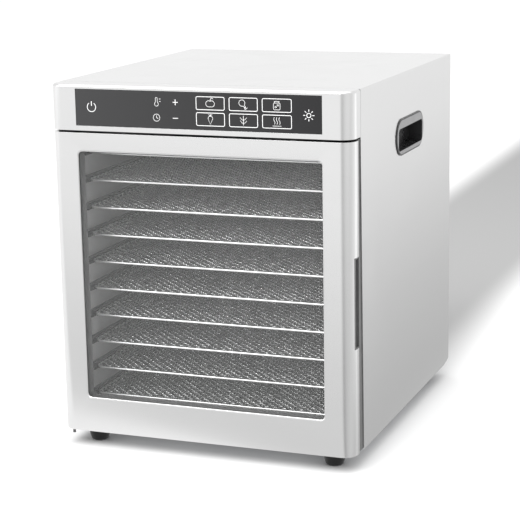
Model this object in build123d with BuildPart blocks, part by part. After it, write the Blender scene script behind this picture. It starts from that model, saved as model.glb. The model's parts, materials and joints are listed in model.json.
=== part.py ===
"""Ten-tray food dehydrator with a glazed door, built as separate pieces.

Millimetres. +Z is up, the door faces -Y, and the origin is under the middle of
the object, on the surface that its feet stand on. Depths are counted backwards
from the door's face.
"""
from build123d import *
from math import cos, radians, sin
import os

os.makedirs("parts", exist_ok=True)

# ---------------------------------------------------------------- overall sizes
width = 345.0                  # across the casing's two sides
body_height = 391.0            # base to top, without the feet
body_depth = 398.0             # door's face to the back of the casing
foot_height = 18.0
rear_cover_depth = 42.0        # how far the motor's cover stands out behind
corner_radius = 15.0           # front corners of the door and the fascia, in plan

# ------------------------------------------------------------- sheet and fits
casing_sheet = 1.0
fold_radius = 1.5
liner_sheet = 0.8
fit_gap = 0.3                  # between a sheet and the sheet it slides inside
seam_gap = 0.4                 # visible joint lines
casing_setback_top = 28.0      # front edge of the casing's sides, behind the door's face
casing_setback_bottom = 36.0
rear_flange = 12.0             # the casing's back edge, folded inwards
pan_flange_height = 14.0
hole_clearance = 0.1           # round a screw's shank
heel_cut_length = 21.0         # low corner cut off the casing's back
heel_cut_height = 4.0

# ------------------------------------------------------------------- front
fascia_height = 49.7
fascia_wall = 3.0
fascia_lip = 8.0               # tongue that enters the casing
fascia_edge_radius = 3.0
door_seam = 2.5                # between the door's top and the fascia
glass_margin = 32.5            # casing's side to the control glass
glass_height = 39.6
glass_drop = 4.6               # top of the fascia to the control glass
control_glass_thickness = 1.9
glass_pocket_gap = 0.2         # control glass to its pocket
glass_recess = 0.1             # fascia's face to the control glass
glass_ledge = 4.0              # fascia behind the control glass, each side
lip_wall = 2.0
frame_gap = 4.0                # back of the door to the fixed frame
frame_flange = 20.0
board_inset = 5.0              # control glass to the touch board, each side
board_thickness = 1.6
display_width = 60.0
display_height = 20.0
display_depth = 7.0
display_inset = 28.0           # control glass's left end to the display

# -------------------------------------------------------------------- door
door_thickness = 20.0
door_sheet = 1.5
door_lift = 0.5                # door's lower edge above the base
stile = 33.0                   # door's edge to its window
bottom_rail = 39.9
top_rail = 20.4
window_radius = 5.0
window_bevel = 2.0             # bevel round the window, seen from the front
window_bevel_depth = 1.1
gasket_thickness = 1.5
glass_thickness = 4.0
glass_lap = 7.5                # glass behind the frame, each side
inner_frame_wall = 2.0
inner_frame_gap = 0.2          # inner frame to the shell and to the pane
inner_opening_lap = 2.0        # window's edge to the inner frame's opening
rail_screw_reach = 7.8         # window's side to the inner frame's screws
rail_screw_inset = 30.0        # window's ends to the outer screws
rail_boss_radius = 3.5
seal_width = 5.0
seal_gap = 0.3                 # seal to the fixed frame
seal_lap = 2.0                 # chamber's opening to the seal
notch_bottom = 117.5           # finger notch above the door's lower edge
notch_length = 98.5
notch_lip = 9.0                # door's face to the notch
notch_reach = 13.5
notch_wall = 2.0
grip_wall = 1.5
hinge_inset = 7.5              # door's edge to the hinge pins
hinge_depth = 13.0             # door's face to the hinge pins
hinge_back_radius = 4.5        # door's back corner beside the pins
pin_radius = 2.5
pin_clearance = 0.05
pin_length = 12.0
bush_radius = 4.5
hinge_plate = 2.0
upper_plate = 1.5
hinge_plate_reach = 36.0       # fixed frame's face to the lower plate's back end
upper_plate_reach = 14.0
hinge_head_height = 5.5
hinge_head_radius = 1.7

# ----------------------------------------------------------- drying chamber
side_space = 21.5              # casing's side to the chamber wall
floor_rise = 22.0              # base to the chamber's floor
electronics_bay = 61.0         # chamber's roof to the top of the body
rear_space = 18.0              # chamber's rear wall to the back of the casing
fan_space = 36.0               # air baffle to the chamber's rear wall
tray_count = 10
lowest_tray_rise = 13.6        # chamber's floor to the lowest tray
top_tray_drop = 18.1           # chamber's roof to the top tray
tray_inset = 9.0               # fixed frame's face to the middle of a tray's front wire
tray_side_gap = 4.5
tray_wire = 2.4
tray_mesh = 0.3                # solid thickness with the weight of the woven mesh
tray_corner = 12.0
runner_reach = 7.5
runner_gap = 0.3
baffle_slot_length = 24.0
baffle_slot_width = 6.0
baffle_slot_pitch = 32.0

# ------------------------------------------------------------ fan and motor
fan_radius = 62.0
blade_count = 8
blade_length = 20.0
blade_sheet = 1.2
blade_pitch = 35.0
hub_radius = 11.0
hub_length = 18.0
shaft_radius = 3.0
bearing_radius = 6.0
bearing_length = 6.0
bearing_clearance = 0.03
rotor_radius = 14.5
rotor_gap = 0.5
stack_length = 18.0            # rotor and stator laminations
stator_width = 60.0
bracket_sheet = 2.0
bracket_leg = 5.0
bracket_leg_width = 8.0
bracket_half = 11.0            # half the brackets' height
standoff_radius = 4.0
motor_standoff = 4.0
heater_ring_radius = 84.0
heater_tube_radius = 3.5
heater_behind_baffle = 17.0
fan_behind_baffle = 10.0
nut_wall = 2.8                 # shaft to the nut's corners
nut_length = 5.0
coil_window_height = 18.0
stack_rim = 12.0               # motor steel beside the rotor and the coil
stack_foot = 10.0              # motor steel under the coil's window

# --------------------------------------------------------------- back, feet
cover_width = 190.0
cover_flange = 12.0
cover_radius = 5.0
vent_width = 4.5
vent_pitch = 12.0
cover_vent_length = 46.0
cover_vent_spacing = 54.0
cover_side_vent_length = 24.0
panel_vent_length = 18.0
panel_vent_width = 4.0
panel_vent_spacing = 24.0
panel_vent_pitch = 11.0
motor_patch_width = 62.0       # unslotted middle of the back panel
motor_patch_height = 36.0
bay_vent_length = 22.0
bay_vent_spacing = 10.0
shaft_hole_radius = 9.0
rear_screw_inset = 45.0        # ends of the casing to the outer screws on its back
foot_inset_x = 31.5            # casing's side to a foot's centre
foot_inset_front = 30.0        # door's face to the front feet's centres
foot_inset_back = 38.0         # back of the casing to the rear feet's centres
foot_top_radius = 14.0
foot_base_radius = 9.5
foot_edge_radius = 2.0
foot_hole_radius = 2.2
foot_recess_radius = 4.4
foot_recess_depth = 8.0
screw_radius = 1.7
screw_head_radius = 3.6
screw_head_height = 2.2
screw_length = 7.0

# ------------------------------------------------------------- side handles
handle_depth_from_front = 214.0
handle_drop = 71.7             # top of the body to the handle's centre
handle_length = 111.6
handle_height = 41.5
handle_flange = 1.0
bezel_sheet = 0.5
bezel_inset = 1.8
grip_length = 98.0
grip_height = 25.0
grip_drop = 2.5                # grip opening's centre below the handle's
grip_radius = 5.0
cup_wall = 2.0
cup_depth = 15.5

# ------------------------------------------------------ inlet, lamp and sensor
inlet_from_side = 54.0         # casing's side to the inlet's centre
inlet_drop = 30.0              # top of the body to the inlet's centre
inlet_body_width = 27.6
inlet_body_height = 20.0
inlet_body_depth = 22.0
inlet_flange_width = 50.0
inlet_flange_height = 24.0
inlet_flange_depth = 3.0
inlet_mouth_width = 24.0
inlet_mouth_height = 16.6
inlet_mouth_chamfer = 4.0
inlet_screw_x = 20.0           # inlet's centre to each of its screws
magnet_width = 7.0
magnet_length = 24.0
magnet_depth = 4.0
magnet_inset = 8.5             # door's edge to the magnets' middle
magnet_raise = 6.0             # magnets above the middle of the stile over and under the notch
magnet_wall = 1.5
magnet_gap = 0.1
catch_thickness = 1.2
catch_overhang = 2.0
lamp_from_side = 72.0
lamp_from_front = 75.0
lamp_radius = 14.0
sensor_from_side = 62.0
sensor_below_roof = 40.0
sensor_radius = 2.5
sensor_length = 24.0           # in the chamber
sensor_collar = 3.0
cutout_radius = 8.0
cutout_depth = 7.0
lens_lap = 2.0
power_board_length = 150.0
power_board_width = 90.0
power_board_from_front = 130.0
power_board_from_left = 82.5
power_board_standoff = 12.0
power_board_post_inset = 6.0

# ------------------------------------------------------------ derived places
front = -(body_depth + rear_cover_depth) / 2
back = front + body_depth
base = foot_height
top = base + body_height
half = width / 2
inside = half - casing_sheet - fit_gap          # outer half-width of sheets inside
fascia_bottom = top - fascia_height
door_bottom = base + door_lift
door_top = fascia_bottom - door_seam
door_height = door_top - door_bottom
door_back = front + door_thickness
frame_front = door_back + frame_gap
frame_bottom = base + casing_sheet + fit_gap - 0.1
frame_top = door_top + 0.6
window_half = half - stile
window_bottom = door_bottom + bottom_rail
window_top = door_top - top_rail
glass_half = half - glass_margin
glass_top = top - glass_drop
glass_mid = glass_top - glass_height / 2
chamber_half = half - side_space
chamber_floor_top = base + floor_rise
chamber_roof_base = top - electronics_bay
chamber_mid = (chamber_floor_top + chamber_roof_base) / 2
chamber_front = frame_front + casing_sheet
rear_wall_front = back - rear_space
baffle_front = rear_wall_front - fan_space
panel_front = back - 2 * casing_sheet
lowest_tray = chamber_floor_top + lowest_tray_rise
highest_tray = chamber_roof_base - top_tray_drop
tray_pitch = (highest_tray - lowest_tray) / (tray_count - 1)
tray_half = chamber_half - tray_side_gap
hinge_x = -half + hinge_inset
hinge_y = front + hinge_depth
notch_base = door_bottom + notch_bottom
handle_y = front + handle_depth_from_front
handle_z = top - handle_drop
foot_x = half - foot_inset_x
foot_y = (front + foot_inset_front, back - foot_inset_back)
foot_places = [(x, y) for x in (-foot_x, foot_x) for y in foot_y]
inlet_x = half - inlet_from_side
inlet_z = top - inlet_drop
lamp_x = half - lamp_from_side
lamp_y = front + lamp_from_front
sensor_x = -half + sensor_from_side
sensor_z = chamber_roof_base - sensor_below_roof
bracket_hole_x = (stator_width - bracket_leg_width) / 2
magnet_x = half - magnet_inset
notch_top = notch_base + notch_length
magnet_places = ((window_bottom + notch_base) / 2 + magnet_raise,
                 (notch_top + window_top) / 2 + magnet_raise)
heater_arc = 320.0             # the ring is open at its foot
heater_across = sin(radians(180 - heater_arc / 2))
heater_down = cos(radians(180 - heater_arc / 2))
heater_ends = [(s * heater_ring_radius * heater_across, chamber_mid - heater_ring_radius * heater_down)
               for s in (-1, 1)]


def upright(y):
    """Plane facing the viewer at depth y; sketches on it are in x and z."""
    return Plane.XZ.offset(-y)


def sideways(x):
    """Plane facing +X; sketches on it are in y and z."""
    return Plane.YZ.offset(x)


def block(x0, x1, y0, y1, z0, z1, mode=Mode.ADD):
    """Box between two corners, joined to the part that is being made."""
    with Locations(((x0 + x1) / 2, (y0 + y1) / 2, (z0 + z1) / 2)):
        Box(x1 - x0, y1 - y0, z1 - z0, mode=mode)


def rod(x, z, radius, y0, y1, mode=Mode.ADD):
    """Cylinder along Y."""
    with Locations((x, (y0 + y1) / 2, z)):
        Cylinder(radius, y1 - y0, rotation=(90, 0, 0), mode=mode)


def post(x, y, radius, z0, z1, mode=Mode.ADD):
    """Cylinder along Z."""
    with Locations((x, y, (z0 + z1) / 2)):
        Cylinder(radius, z1 - z0, mode=mode)


def front_plan(inset, y_back, left_radius=0.0):
    """Plan of the door or the fascia: big round front corners, drawn in the open sketch."""
    y_front = front + inset
    with Locations((0, (y_front + y_back) / 2)):
        Rectangle(width - 2 * inset, y_back - y_front)
    fillet(vertices().group_by(Axis.Y)[0], radius=corner_radius - inset)
    if left_radius > 0:
        fillet(vertices().group_by(Axis.Y)[-1].sort_by(Axis.X)[0], radius=left_radius)


def rail_screw_places():
    """Screws that hold the door's inner frame: x and z."""
    x = window_half + rail_screw_reach
    heights = (window_bottom + rail_screw_inset, chamber_mid, window_top - rail_screw_inset)
    return [(s * x, z) for s in (-1, 1) for z in heights]


def rear_screw_places():
    """Screws on the back of the casing and round the rear cover: x, z."""
    edge = half - rear_flange / 2
    heights = (base + rear_screw_inset, chamber_mid, top - rear_screw_inset)
    sides = [(s * edge, z) for s in (-1, 1) for z in heights]
    lid = [(s * half * 0.5, top - rear_flange / 2) for s in (-1, 1)]
    reach = cover_width / 2 + cover_flange / 2
    cover = [(s * reach, chamber_mid + t * cover_width / 3) for s in (-1, 1) for t in (-1, 1)]
    return sides + lid + cover


# ------------------------------------------------------------------ casing, base
with BuildPart() as outer_casing:
    with BuildSketch(upright(front)) as casing_section:
        with Locations((0, (base + top) / 2)):
            Rectangle(width, body_height)
        fillet(casing_section.vertices().group_by(Axis.Y)[-1], radius=fold_radius)
        with Locations((0, (base + top) / 2 - casing_sheet)):
            Rectangle(width - 2 * casing_sheet, body_height, mode=Mode.SUBTRACT)
    extrude(amount=-body_depth)
    with BuildSketch(sideways(-half)):
        with BuildLine():
            Polyline(
                (front + casing_setback_top + seam_gap, top),
                (back, top),
                (back, base + heel_cut_height),
                (back - heel_cut_length, base),
                (front + casing_setback_bottom, base),
                (front + casing_setback_top + seam_gap, fascia_bottom),
                close=True,
            )
        make_face()
    extrude(amount=width, mode=Mode.INTERSECT)
    with BuildSketch(upright(back)):
        with Locations((0, (base + heel_cut_height + top - casing_sheet) / 2)):
            Rectangle(width - 2 * casing_sheet, body_height - casing_sheet - heel_cut_height)
        with Locations((0, (base + top) / 2 - rear_flange)):
            Rectangle(width - 2 * rear_flange, body_height, mode=Mode.SUBTRACT)
    extrude(amount=casing_sheet)
    for x, z in rear_screw_places():
        rod(x, z, screw_radius + hole_clearance, back - casing_sheet - 1, back + 1, mode=Mode.SUBTRACT)
    with BuildSketch(sideways(-half)):
        with Locations((handle_y, handle_z - grip_drop)):
            RectangleRounded(grip_length + 2 * cup_wall + 1, grip_height + 2 * cup_wall + 1, grip_radius)
    extrude(amount=width, mode=Mode.SUBTRACT)
outer_casing.part.label = "outer_casing"

with BuildPart() as base_pan:
    block(-inside, inside, frame_front, panel_front - fit_gap, base, base + casing_sheet)
    y_flange = frame_front + frame_flange + 2
    y_rear = panel_front - fit_gap
    flange_top = base + pan_flange_height
    for side in (-1, 1):
        x_out, x_in = side * inside, side * (inside - casing_sheet)
        block(min(x_out, x_in), max(x_out, x_in), y_flange, y_rear, base, flange_top)
    block(-inside, inside, y_rear - casing_sheet, y_rear, base, flange_top)
    with Locations(*[(x, y, base) for x, y in foot_places]):
        Cylinder(foot_hole_radius, 4 * casing_sheet, mode=Mode.SUBTRACT)
base_pan.part.label = "base_pan"

with BuildPart() as back_panel:
    block(-inside, inside, panel_front, back - casing_sheet, frame_bottom, top - casing_sheet - fit_gap)
    rod(0, chamber_mid, shaft_hole_radius, panel_front - 1, back, mode=Mode.SUBTRACT)
    with BuildSketch(upright(panel_front - 1)):
        with Locations((0, chamber_mid)):
            with GridLocations(panel_vent_spacing, panel_vent_pitch, 5, 9):
                SlotOverall(panel_vent_length, panel_vent_width)
        with Locations((0, chamber_mid)):
            Rectangle(motor_patch_width, motor_patch_height, mode=Mode.SUBTRACT)
        with Locations((-half * 0.42, inlet_z)):
            with GridLocations(bay_vent_spacing, 0, 9, 1):
                SlotOverall(bay_vent_length, panel_vent_width, rotation=90)
        with Locations((inlet_x, inlet_z)):
            Rectangle(inlet_body_width + 0.4, inlet_body_height + 0.4)
    extrude(amount=-3 * casing_sheet, mode=Mode.SUBTRACT)
    for x, z in rear_screw_places():
        rod(x, z, screw_radius + hole_clearance, panel_front - 1, back, mode=Mode.SUBTRACT)
    for side in (-1, 1):
        rod(side * bracket_hole_x, chamber_mid, screw_radius + hole_clearance, panel_front - 1, back,
            mode=Mode.SUBTRACT)
        rod(inlet_x + side * inlet_screw_x, inlet_z, screw_radius + hole_clearance, panel_front - 1, back,
            mode=Mode.SUBTRACT)
back_panel.part.label = "back_panel"

with BuildPart() as rear_cover:
    with BuildSketch(upright(back - casing_sheet)):
        with Locations((0, chamber_mid)):
            RectangleRounded(cover_width, cover_width, cover_radius)
    extrude(amount=-(rear_cover_depth + casing_sheet))
    fillet(rear_cover.faces().sort_by(Axis.Y)[-1].edges(), radius=cover_radius - 1)
    offset(amount=-casing_sheet, openings=rear_cover.faces().sort_by(Axis.Y)[0])
    with BuildSketch(upright(back - casing_sheet)):
        with Locations((0, chamber_mid)):
            RectangleRounded(cover_width + 2 * cover_flange, cover_width + 2 * cover_flange, cover_radius)
            Rectangle(cover_width - 2 * cover_radius, cover_width - 2 * cover_radius, mode=Mode.SUBTRACT)
    extrude(amount=-casing_sheet)
    with BuildSketch(upright(back)):
        with Locations((0, chamber_mid)):
            with GridLocations(cover_vent_spacing, vent_pitch, 3, 12):
                SlotOverall(cover_vent_length, vent_width)
    extrude(amount=-2 * rear_cover_depth, mode=Mode.SUBTRACT)
    with BuildSketch(sideways(-cover_width)):
        with Locations((back + rear_cover_depth / 2, chamber_mid)):
            with GridLocations(0, vent_pitch, 1, 10):
                SlotOverall(cover_side_vent_length, vent_width)
    extrude(amount=2 * cover_width, mode=Mode.SUBTRACT)
    for x, z in rear_screw_places()[-4:]:
        rod(x, z, screw_radius + hole_clearance, back - 3 * casing_sheet, back + 1, mode=Mode.SUBTRACT)
rear_cover.part.label = "rear_cover"

# ------------------------------------------------------------------------ feet
with BuildPart() as feet:
    for x, y in foot_places:
        with BuildSketch(sideways(x)):
            with BuildLine():
                Polyline(
                    (y + foot_hole_radius, base),
                    (y + foot_top_radius, base),
                    (y + foot_base_radius + foot_edge_radius * 0.3, foot_edge_radius),
                )
                ThreePointArc(
                    (y + foot_base_radius + foot_edge_radius * 0.3, foot_edge_radius),
                    (y + foot_base_radius - foot_edge_radius * 0.3, foot_edge_radius * 0.3),
                    (y + foot_base_radius - foot_edge_radius, 0),
                )
                Polyline(
                    (y + foot_base_radius - foot_edge_radius, 0),
                    (y + foot_recess_radius, 0),
                    (y + foot_recess_radius, foot_recess_depth),
                    (y + foot_hole_radius, foot_recess_depth),
                    (y + foot_hole_radius, base),
                )
            make_face()
        revolve(axis=Axis((x, y, 0), (0, 0, 1)))
feet.part.label = "feet"

with BuildPart() as foot_screws:
    for x, y in foot_places:
        post(x, y, screw_head_radius, foot_recess_depth - screw_head_height, foot_recess_depth)
        post(x, y, foot_hole_radius - 0.3, foot_recess_depth, base + casing_sheet + 5)
foot_screws.part.label = "foot_screws"

# ---------------------------------------------------------- fixed front, fascia
with BuildPart() as front_frame:
    block(-inside, inside, frame_front, frame_front + frame_flange, frame_bottom, frame_top)
    block(-inside + casing_sheet, inside - casing_sheet, frame_front + casing_sheet,
          frame_front + frame_flange + 1, frame_bottom + casing_sheet, frame_top - casing_sheet,
          mode=Mode.SUBTRACT)
    block(-chamber_half, chamber_half, frame_front - 1, frame_front + 2,
          chamber_floor_top, chamber_roof_base, mode=Mode.SUBTRACT)
    for x in (-foot_x, foot_x):
        post(x, foot_y[0], foot_hole_radius, frame_bottom - 1, frame_bottom + 2, mode=Mode.SUBTRACT)
front_frame.part.label = "front_frame"

with BuildPart() as fascia:
    with BuildSketch(Plane.XY.offset(fascia_bottom)):
        front_plan(0, front + casing_setback_top)
    extrude(amount=fascia_height)
    upper_front = fascia.faces().sort_by(Axis.Z)[-1].edges().filter_by(
        lambda edge: edge.center().Y < front + casing_setback_top - 1)
    fillet(upper_front.filter_by(lambda edge: abs(edge.center().X) < half - 1), radius=fascia_edge_radius)
    with BuildSketch(Plane.XY.offset(fascia_bottom + fascia_wall)):
        front_plan(fascia_wall, front + casing_setback_top + 1)
    extrude(amount=fascia_height - 2 * fascia_wall, mode=Mode.SUBTRACT)
    lip_top = top - casing_sheet - fit_gap
    y_lip = front + casing_setback_top
    block(-inside, inside, y_lip - 1, y_lip + fascia_lip, fascia_bottom + 0.5, lip_top)
    block(-inside + lip_wall, inside - lip_wall, y_lip - 2, y_lip + fascia_lip + 1,
          fascia_bottom + 0.5 + lip_wall, lip_top - lip_wall, mode=Mode.SUBTRACT)
    pocket_half, pocket_rise = glass_half + glass_pocket_gap, glass_height / 2 + glass_pocket_gap
    block(-pocket_half, pocket_half, front - 1, front + glass_recess + control_glass_thickness,
          glass_mid - pocket_rise, glass_mid + pocket_rise, mode=Mode.SUBTRACT)
    hole_half, hole_rise = glass_half - glass_ledge, glass_height / 2 - glass_ledge
    block(-hole_half, hole_half, front, front + fascia_wall + 1, glass_mid - hole_rise, glass_mid + hole_rise,
          mode=Mode.SUBTRACT)
fascia.part.label = "fascia"

with BuildPart() as control_glass:
    block(-glass_half, glass_half, front + glass_recess, front + glass_recess + control_glass_thickness,
          glass_mid - glass_height / 2, glass_mid + glass_height / 2)
control_glass.part.label = "control_glass"

with BuildPart() as touch_board:
    y_board = front + glass_recess + control_glass_thickness
    board_half, board_rise = glass_half - board_inset, glass_height / 2 - board_inset
    block(-board_half, board_half, y_board, y_board + board_thickness, glass_mid - board_rise,
          glass_mid + board_rise)
touch_board.part.label = "touch_board"

with BuildPart() as display_module:
    x_module, y_module = -glass_half + display_inset, y_board + board_thickness
    block(x_module, x_module + display_width, y_module, y_module + display_depth,
          glass_mid - display_height / 2, glass_mid + display_height / 2)
display_module.part.label = "display_module"

with BuildPart() as power_board:
    x_board = -half + power_board_from_left
    y_power = front + power_board_from_front
    z_board = chamber_roof_base + liner_sheet + power_board_standoff
    z_parts = z_board + board_thickness
    block(x_board, x_board + power_board_length, y_power, y_power + power_board_width, z_board, z_parts)
    for x, y, long, wide, tall in ((15, 15, 40, 40, 28.4), (75, 20, 20, 16, 15.4), (105, 20, 20, 16, 15.4)):
        block(x_board + x, x_board + x + long, y_power + y, y_power + y + wide, z_parts, z_parts + tall)
    post(x_board + 110, y_power + 65, 6, z_parts, z_parts + 20.4)
    for x in (power_board_post_inset, power_board_length - power_board_post_inset):
        for y in (power_board_post_inset, power_board_width - power_board_post_inset):
            post(x_board + x, y_power + y, 3, chamber_roof_base + liner_sheet, z_board)
power_board.part.label = "power_board"

# ------------------------------------------------------------- drying chamber
liners = {}
for name, side in (("left_liner", -1), ("right_liner", 1)):
    with BuildPart() as liner:
        wall = sorted((side * chamber_half, side * (chamber_half + liner_sheet)))
        block(wall[0], wall[1], chamber_front, rear_wall_front, chamber_floor_top, chamber_roof_base)
        ledge = sorted((side * chamber_half, side * (chamber_half - runner_reach)))
        for number in range(tray_count):
            z_ledge = lowest_tray + number * tray_pitch - tray_wire / 2 - runner_gap
            block(ledge[0], ledge[1], chamber_front + 2, baffle_front - 1, z_ledge - liner_sheet, z_ledge)
    liner.part.label = name
    liners[name] = liner

with BuildPart() as chamber_roof:
    block(-chamber_half - liner_sheet, chamber_half + liner_sheet, chamber_front, rear_wall_front,
          chamber_roof_base, chamber_roof_base + liner_sheet)
    post(lamp_x, lamp_y, lamp_radius + 0.2, chamber_roof_base - 1, chamber_roof_base + 2, mode=Mode.SUBTRACT)
chamber_roof.part.label = "chamber_roof"

with BuildPart() as chamber_floor:
    block(-chamber_half - liner_sheet, chamber_half + liner_sheet, chamber_front, rear_wall_front,
          chamber_floor_top - liner_sheet, chamber_floor_top)
chamber_floor.part.label = "chamber_floor"

with BuildPart() as chamber_rear_wall:
    block(-chamber_half - liner_sheet, chamber_half + liner_sheet, rear_wall_front, rear_wall_front + 1,
          chamber_floor_top - liner_sheet, chamber_roof_base + liner_sheet)
    rod(0, chamber_mid, 7, rear_wall_front - 1, rear_wall_front + 2, mode=Mode.SUBTRACT)
    for x, z in heater_ends:
        rod(x, z, heater_tube_radius + 0.5, rear_wall_front - 1, rear_wall_front + 2, mode=Mode.SUBTRACT)
    rod(sensor_x, sensor_z, sensor_radius + 0.3, rear_wall_front - 1, rear_wall_front + 2,
        mode=Mode.SUBTRACT)
chamber_rear_wall.part.label = "chamber_rear_wall"

with BuildPart() as air_baffle:
    block(-chamber_half + fit_gap, chamber_half - fit_gap, baffle_front, baffle_front + casing_sheet,
          chamber_floor_top + fit_gap, chamber_roof_base - fit_gap)
    with BuildSketch(upright(baffle_front - 1)):
        with Locations((0, chamber_mid)):
            with GridLocations(baffle_slot_pitch, tray_pitch / 2, 8, 2 * tray_count - 2):
                SlotOverall(baffle_slot_length, baffle_slot_width)
    extrude(amount=-3 * casing_sheet, mode=Mode.SUBTRACT)
air_baffle.part.label = "air_baffle"

with BuildPart() as heater_element:
    y_ring = baffle_front + heater_behind_baffle
    with BuildSketch(Plane((heater_ends[1][0], y_ring, heater_ends[1][1]), x_dir=(0, 1, 0),
                           z_dir=(heater_down, 0, heater_across))):
        Circle(heater_tube_radius)
    revolve(axis=Axis((0, y_ring, chamber_mid), (0, 1, 0)), revolution_arc=-heater_arc)
    for x, z in heater_ends:
        rod(x, z, heater_tube_radius, y_ring, rear_wall_front + 8)
        with Locations((x, y_ring, z)):
            Sphere(heater_tube_radius)
heater_element.part.label = "heater_element"

with BuildPart() as temperature_sensor:
    rod(sensor_x, sensor_z, sensor_radius, rear_wall_front - sensor_length, rear_wall_front + 6)
    rod(sensor_x, sensor_z, sensor_radius + sensor_collar, rear_wall_front + 1, rear_wall_front + 3)
temperature_sensor.part.label = "temperature_sensor"

with BuildPart() as thermal_cutout:
    x_cutout = -sensor_x * 0.6
    rod(x_cutout, sensor_z, cutout_radius, rear_wall_front + 1, rear_wall_front + 1 + cutout_depth)
    block(x_cutout - cutout_radius - 6, x_cutout + cutout_radius + 6, rear_wall_front + 1,
          rear_wall_front + 2, sensor_z - cutout_radius / 2, sensor_z + cutout_radius / 2)
thermal_cutout.part.label = "thermal_cutout"

with BuildPart() as lamp_lens:
    post(lamp_x, lamp_y, lamp_radius, chamber_roof_base - 1, chamber_roof_base + liner_sheet)
    post(lamp_x, lamp_y, lamp_radius + lens_lap, chamber_roof_base - 3, chamber_roof_base - 0.2)
    fillet(lamp_lens.faces().sort_by(Axis.Z)[0].edges(), radius=2)
lamp_lens.part.label = "lamp_lens"

with BuildPart() as lamp_holder:
    z_holder = chamber_roof_base + liner_sheet
    post(lamp_x, lamp_y, lamp_radius + 3, z_holder, z_holder + 3)
    post(lamp_x, lamp_y, lamp_radius - 4, z_holder, z_holder + 18)
lamp_holder.part.label = "lamp_holder"


# ------------------------------------------------------------------ fan, motor
motor_front = back + motor_standoff             # front bracket's face
stack_front = motor_front + bracket_sheet + bracket_leg
stack_back = stack_front + stack_length
motor_back = stack_back + bracket_leg + bracket_sheet
fan_front = baffle_front + fan_behind_baffle

with BuildPart() as fan_blade:
    rod(0, chamber_mid, hub_radius, fan_front + 1, fan_front + 1 + hub_length)
    y_hub = fan_front + 1 + hub_length / 2
    with Locations(Plane((0, y_hub, chamber_mid), x_dir=(1, 0, 0), z_dir=(0, -1, 0))):
        with PolarLocations((fan_radius + hub_radius - 2) / 2, blade_count):
            Box(fan_radius - hub_radius + 2, blade_sheet, blade_length, rotation=(blade_pitch, 0, 0))
    rod(0, chamber_mid, shaft_radius, fan_front, fan_front + hub_length + 2, mode=Mode.SUBTRACT)
fan_blade.part.label = "fan_blade"

with BuildPart() as fan_nut:
    with BuildSketch(upright(fan_front + 1)):
        with Locations((0, chamber_mid)):
            RegularPolygon(shaft_radius + nut_wall, 6)
            Circle(shaft_radius, mode=Mode.SUBTRACT)
    extrude(amount=nut_length)
fan_nut.part.label = "fan_nut"

with BuildPart() as motor_rotor:
    rod(0, chamber_mid, shaft_radius, fan_front - 5, motor_back + 2)
    rod(0, chamber_mid, rotor_radius, stack_front, stack_back)
motor_rotor.part.label = "motor_rotor"

with BuildPart() as motor_stator:
    window_top_z = chamber_mid - rotor_radius - 9
    window_base_z = window_top_z - coil_window_height
    block(-stator_width / 2, stator_width / 2, stack_front, stack_back,
          window_base_z - stack_foot, chamber_mid + rotor_radius + stack_rim)
    block(-stator_width / 2 + stack_rim, stator_width / 2 - stack_rim, stack_front, stack_back,
          window_base_z, window_top_z, mode=Mode.SUBTRACT)
    rod(0, chamber_mid, rotor_radius + rotor_gap, stack_front, stack_back, mode=Mode.SUBTRACT)
    for side in (-1, 1):
        rod(side * bracket_hole_x, chamber_mid, screw_radius + hole_clearance, stack_front, stack_back,
            mode=Mode.SUBTRACT)
motor_stator.part.label = "motor_stator"

with BuildPart() as motor_coil:
    coil_half = stator_width / 2 - stack_rim - 1
    block(-coil_half, coil_half, stack_front - 4, stack_back + 4, window_base_z - stack_foot - 6,
          window_top_z - 1)
    block(-stator_width / 2, stator_width / 2, stack_front - 0.2, stack_back + 0.2,
          window_base_z - stack_foot - 0.2, window_base_z + 0.2, mode=Mode.SUBTRACT)
    fillet(motor_coil.edges().filter_by(Axis.X).group_by(Axis.Z)[0], radius=2)
motor_coil.part.label = "motor_coil"

with BuildPart() as motor_brackets:
    for face, leg, sheet in ((motor_front, motor_front, 1), (motor_back - bracket_sheet, stack_back, 0)):
        block(-stator_width / 2, stator_width / 2, face, face + bracket_sheet,
              chamber_mid - bracket_half, chamber_mid + bracket_half)
        for side in (-1, 1):
            x_leg = sorted((side * (stator_width / 2 - bracket_leg_width), side * stator_width / 2))
            block(x_leg[0], x_leg[1], leg, leg + bracket_leg + bracket_sheet, chamber_mid - bracket_half,
                  chamber_mid + bracket_half)
    for side in (-1, 1):
        rod(side * bracket_hole_x, chamber_mid, standoff_radius, back - casing_sheet, motor_front)
        rod(side * bracket_hole_x, chamber_mid, screw_radius + hole_clearance, back - 2, motor_back + 1,
            mode=Mode.SUBTRACT)
    rod(0, chamber_mid, bearing_radius, motor_front - 1, motor_back + 1, mode=Mode.SUBTRACT)
motor_brackets.part.label = "motor_brackets"

with BuildPart() as motor_bearings:
    rod(0, chamber_mid, bearing_radius, motor_front - 1, motor_front - 1 + bearing_length)
    rod(0, chamber_mid, bearing_radius, motor_back + 1 - bearing_length, motor_back + 1)
    rod(0, chamber_mid, shaft_radius + bearing_clearance, motor_front - 2, motor_back + 2,
        mode=Mode.SUBTRACT)
motor_bearings.part.label = "motor_bearings"

with BuildPart() as motor_screws:
    for side in (-1, 1):
        rod(side * bracket_hole_x, chamber_mid, screw_radius, panel_front - 3, motor_back)
        rod(side * bracket_hole_x, chamber_mid, screw_head_radius, motor_back,
            motor_back + screw_head_height)
motor_screws.part.label = "motor_screws"

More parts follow.
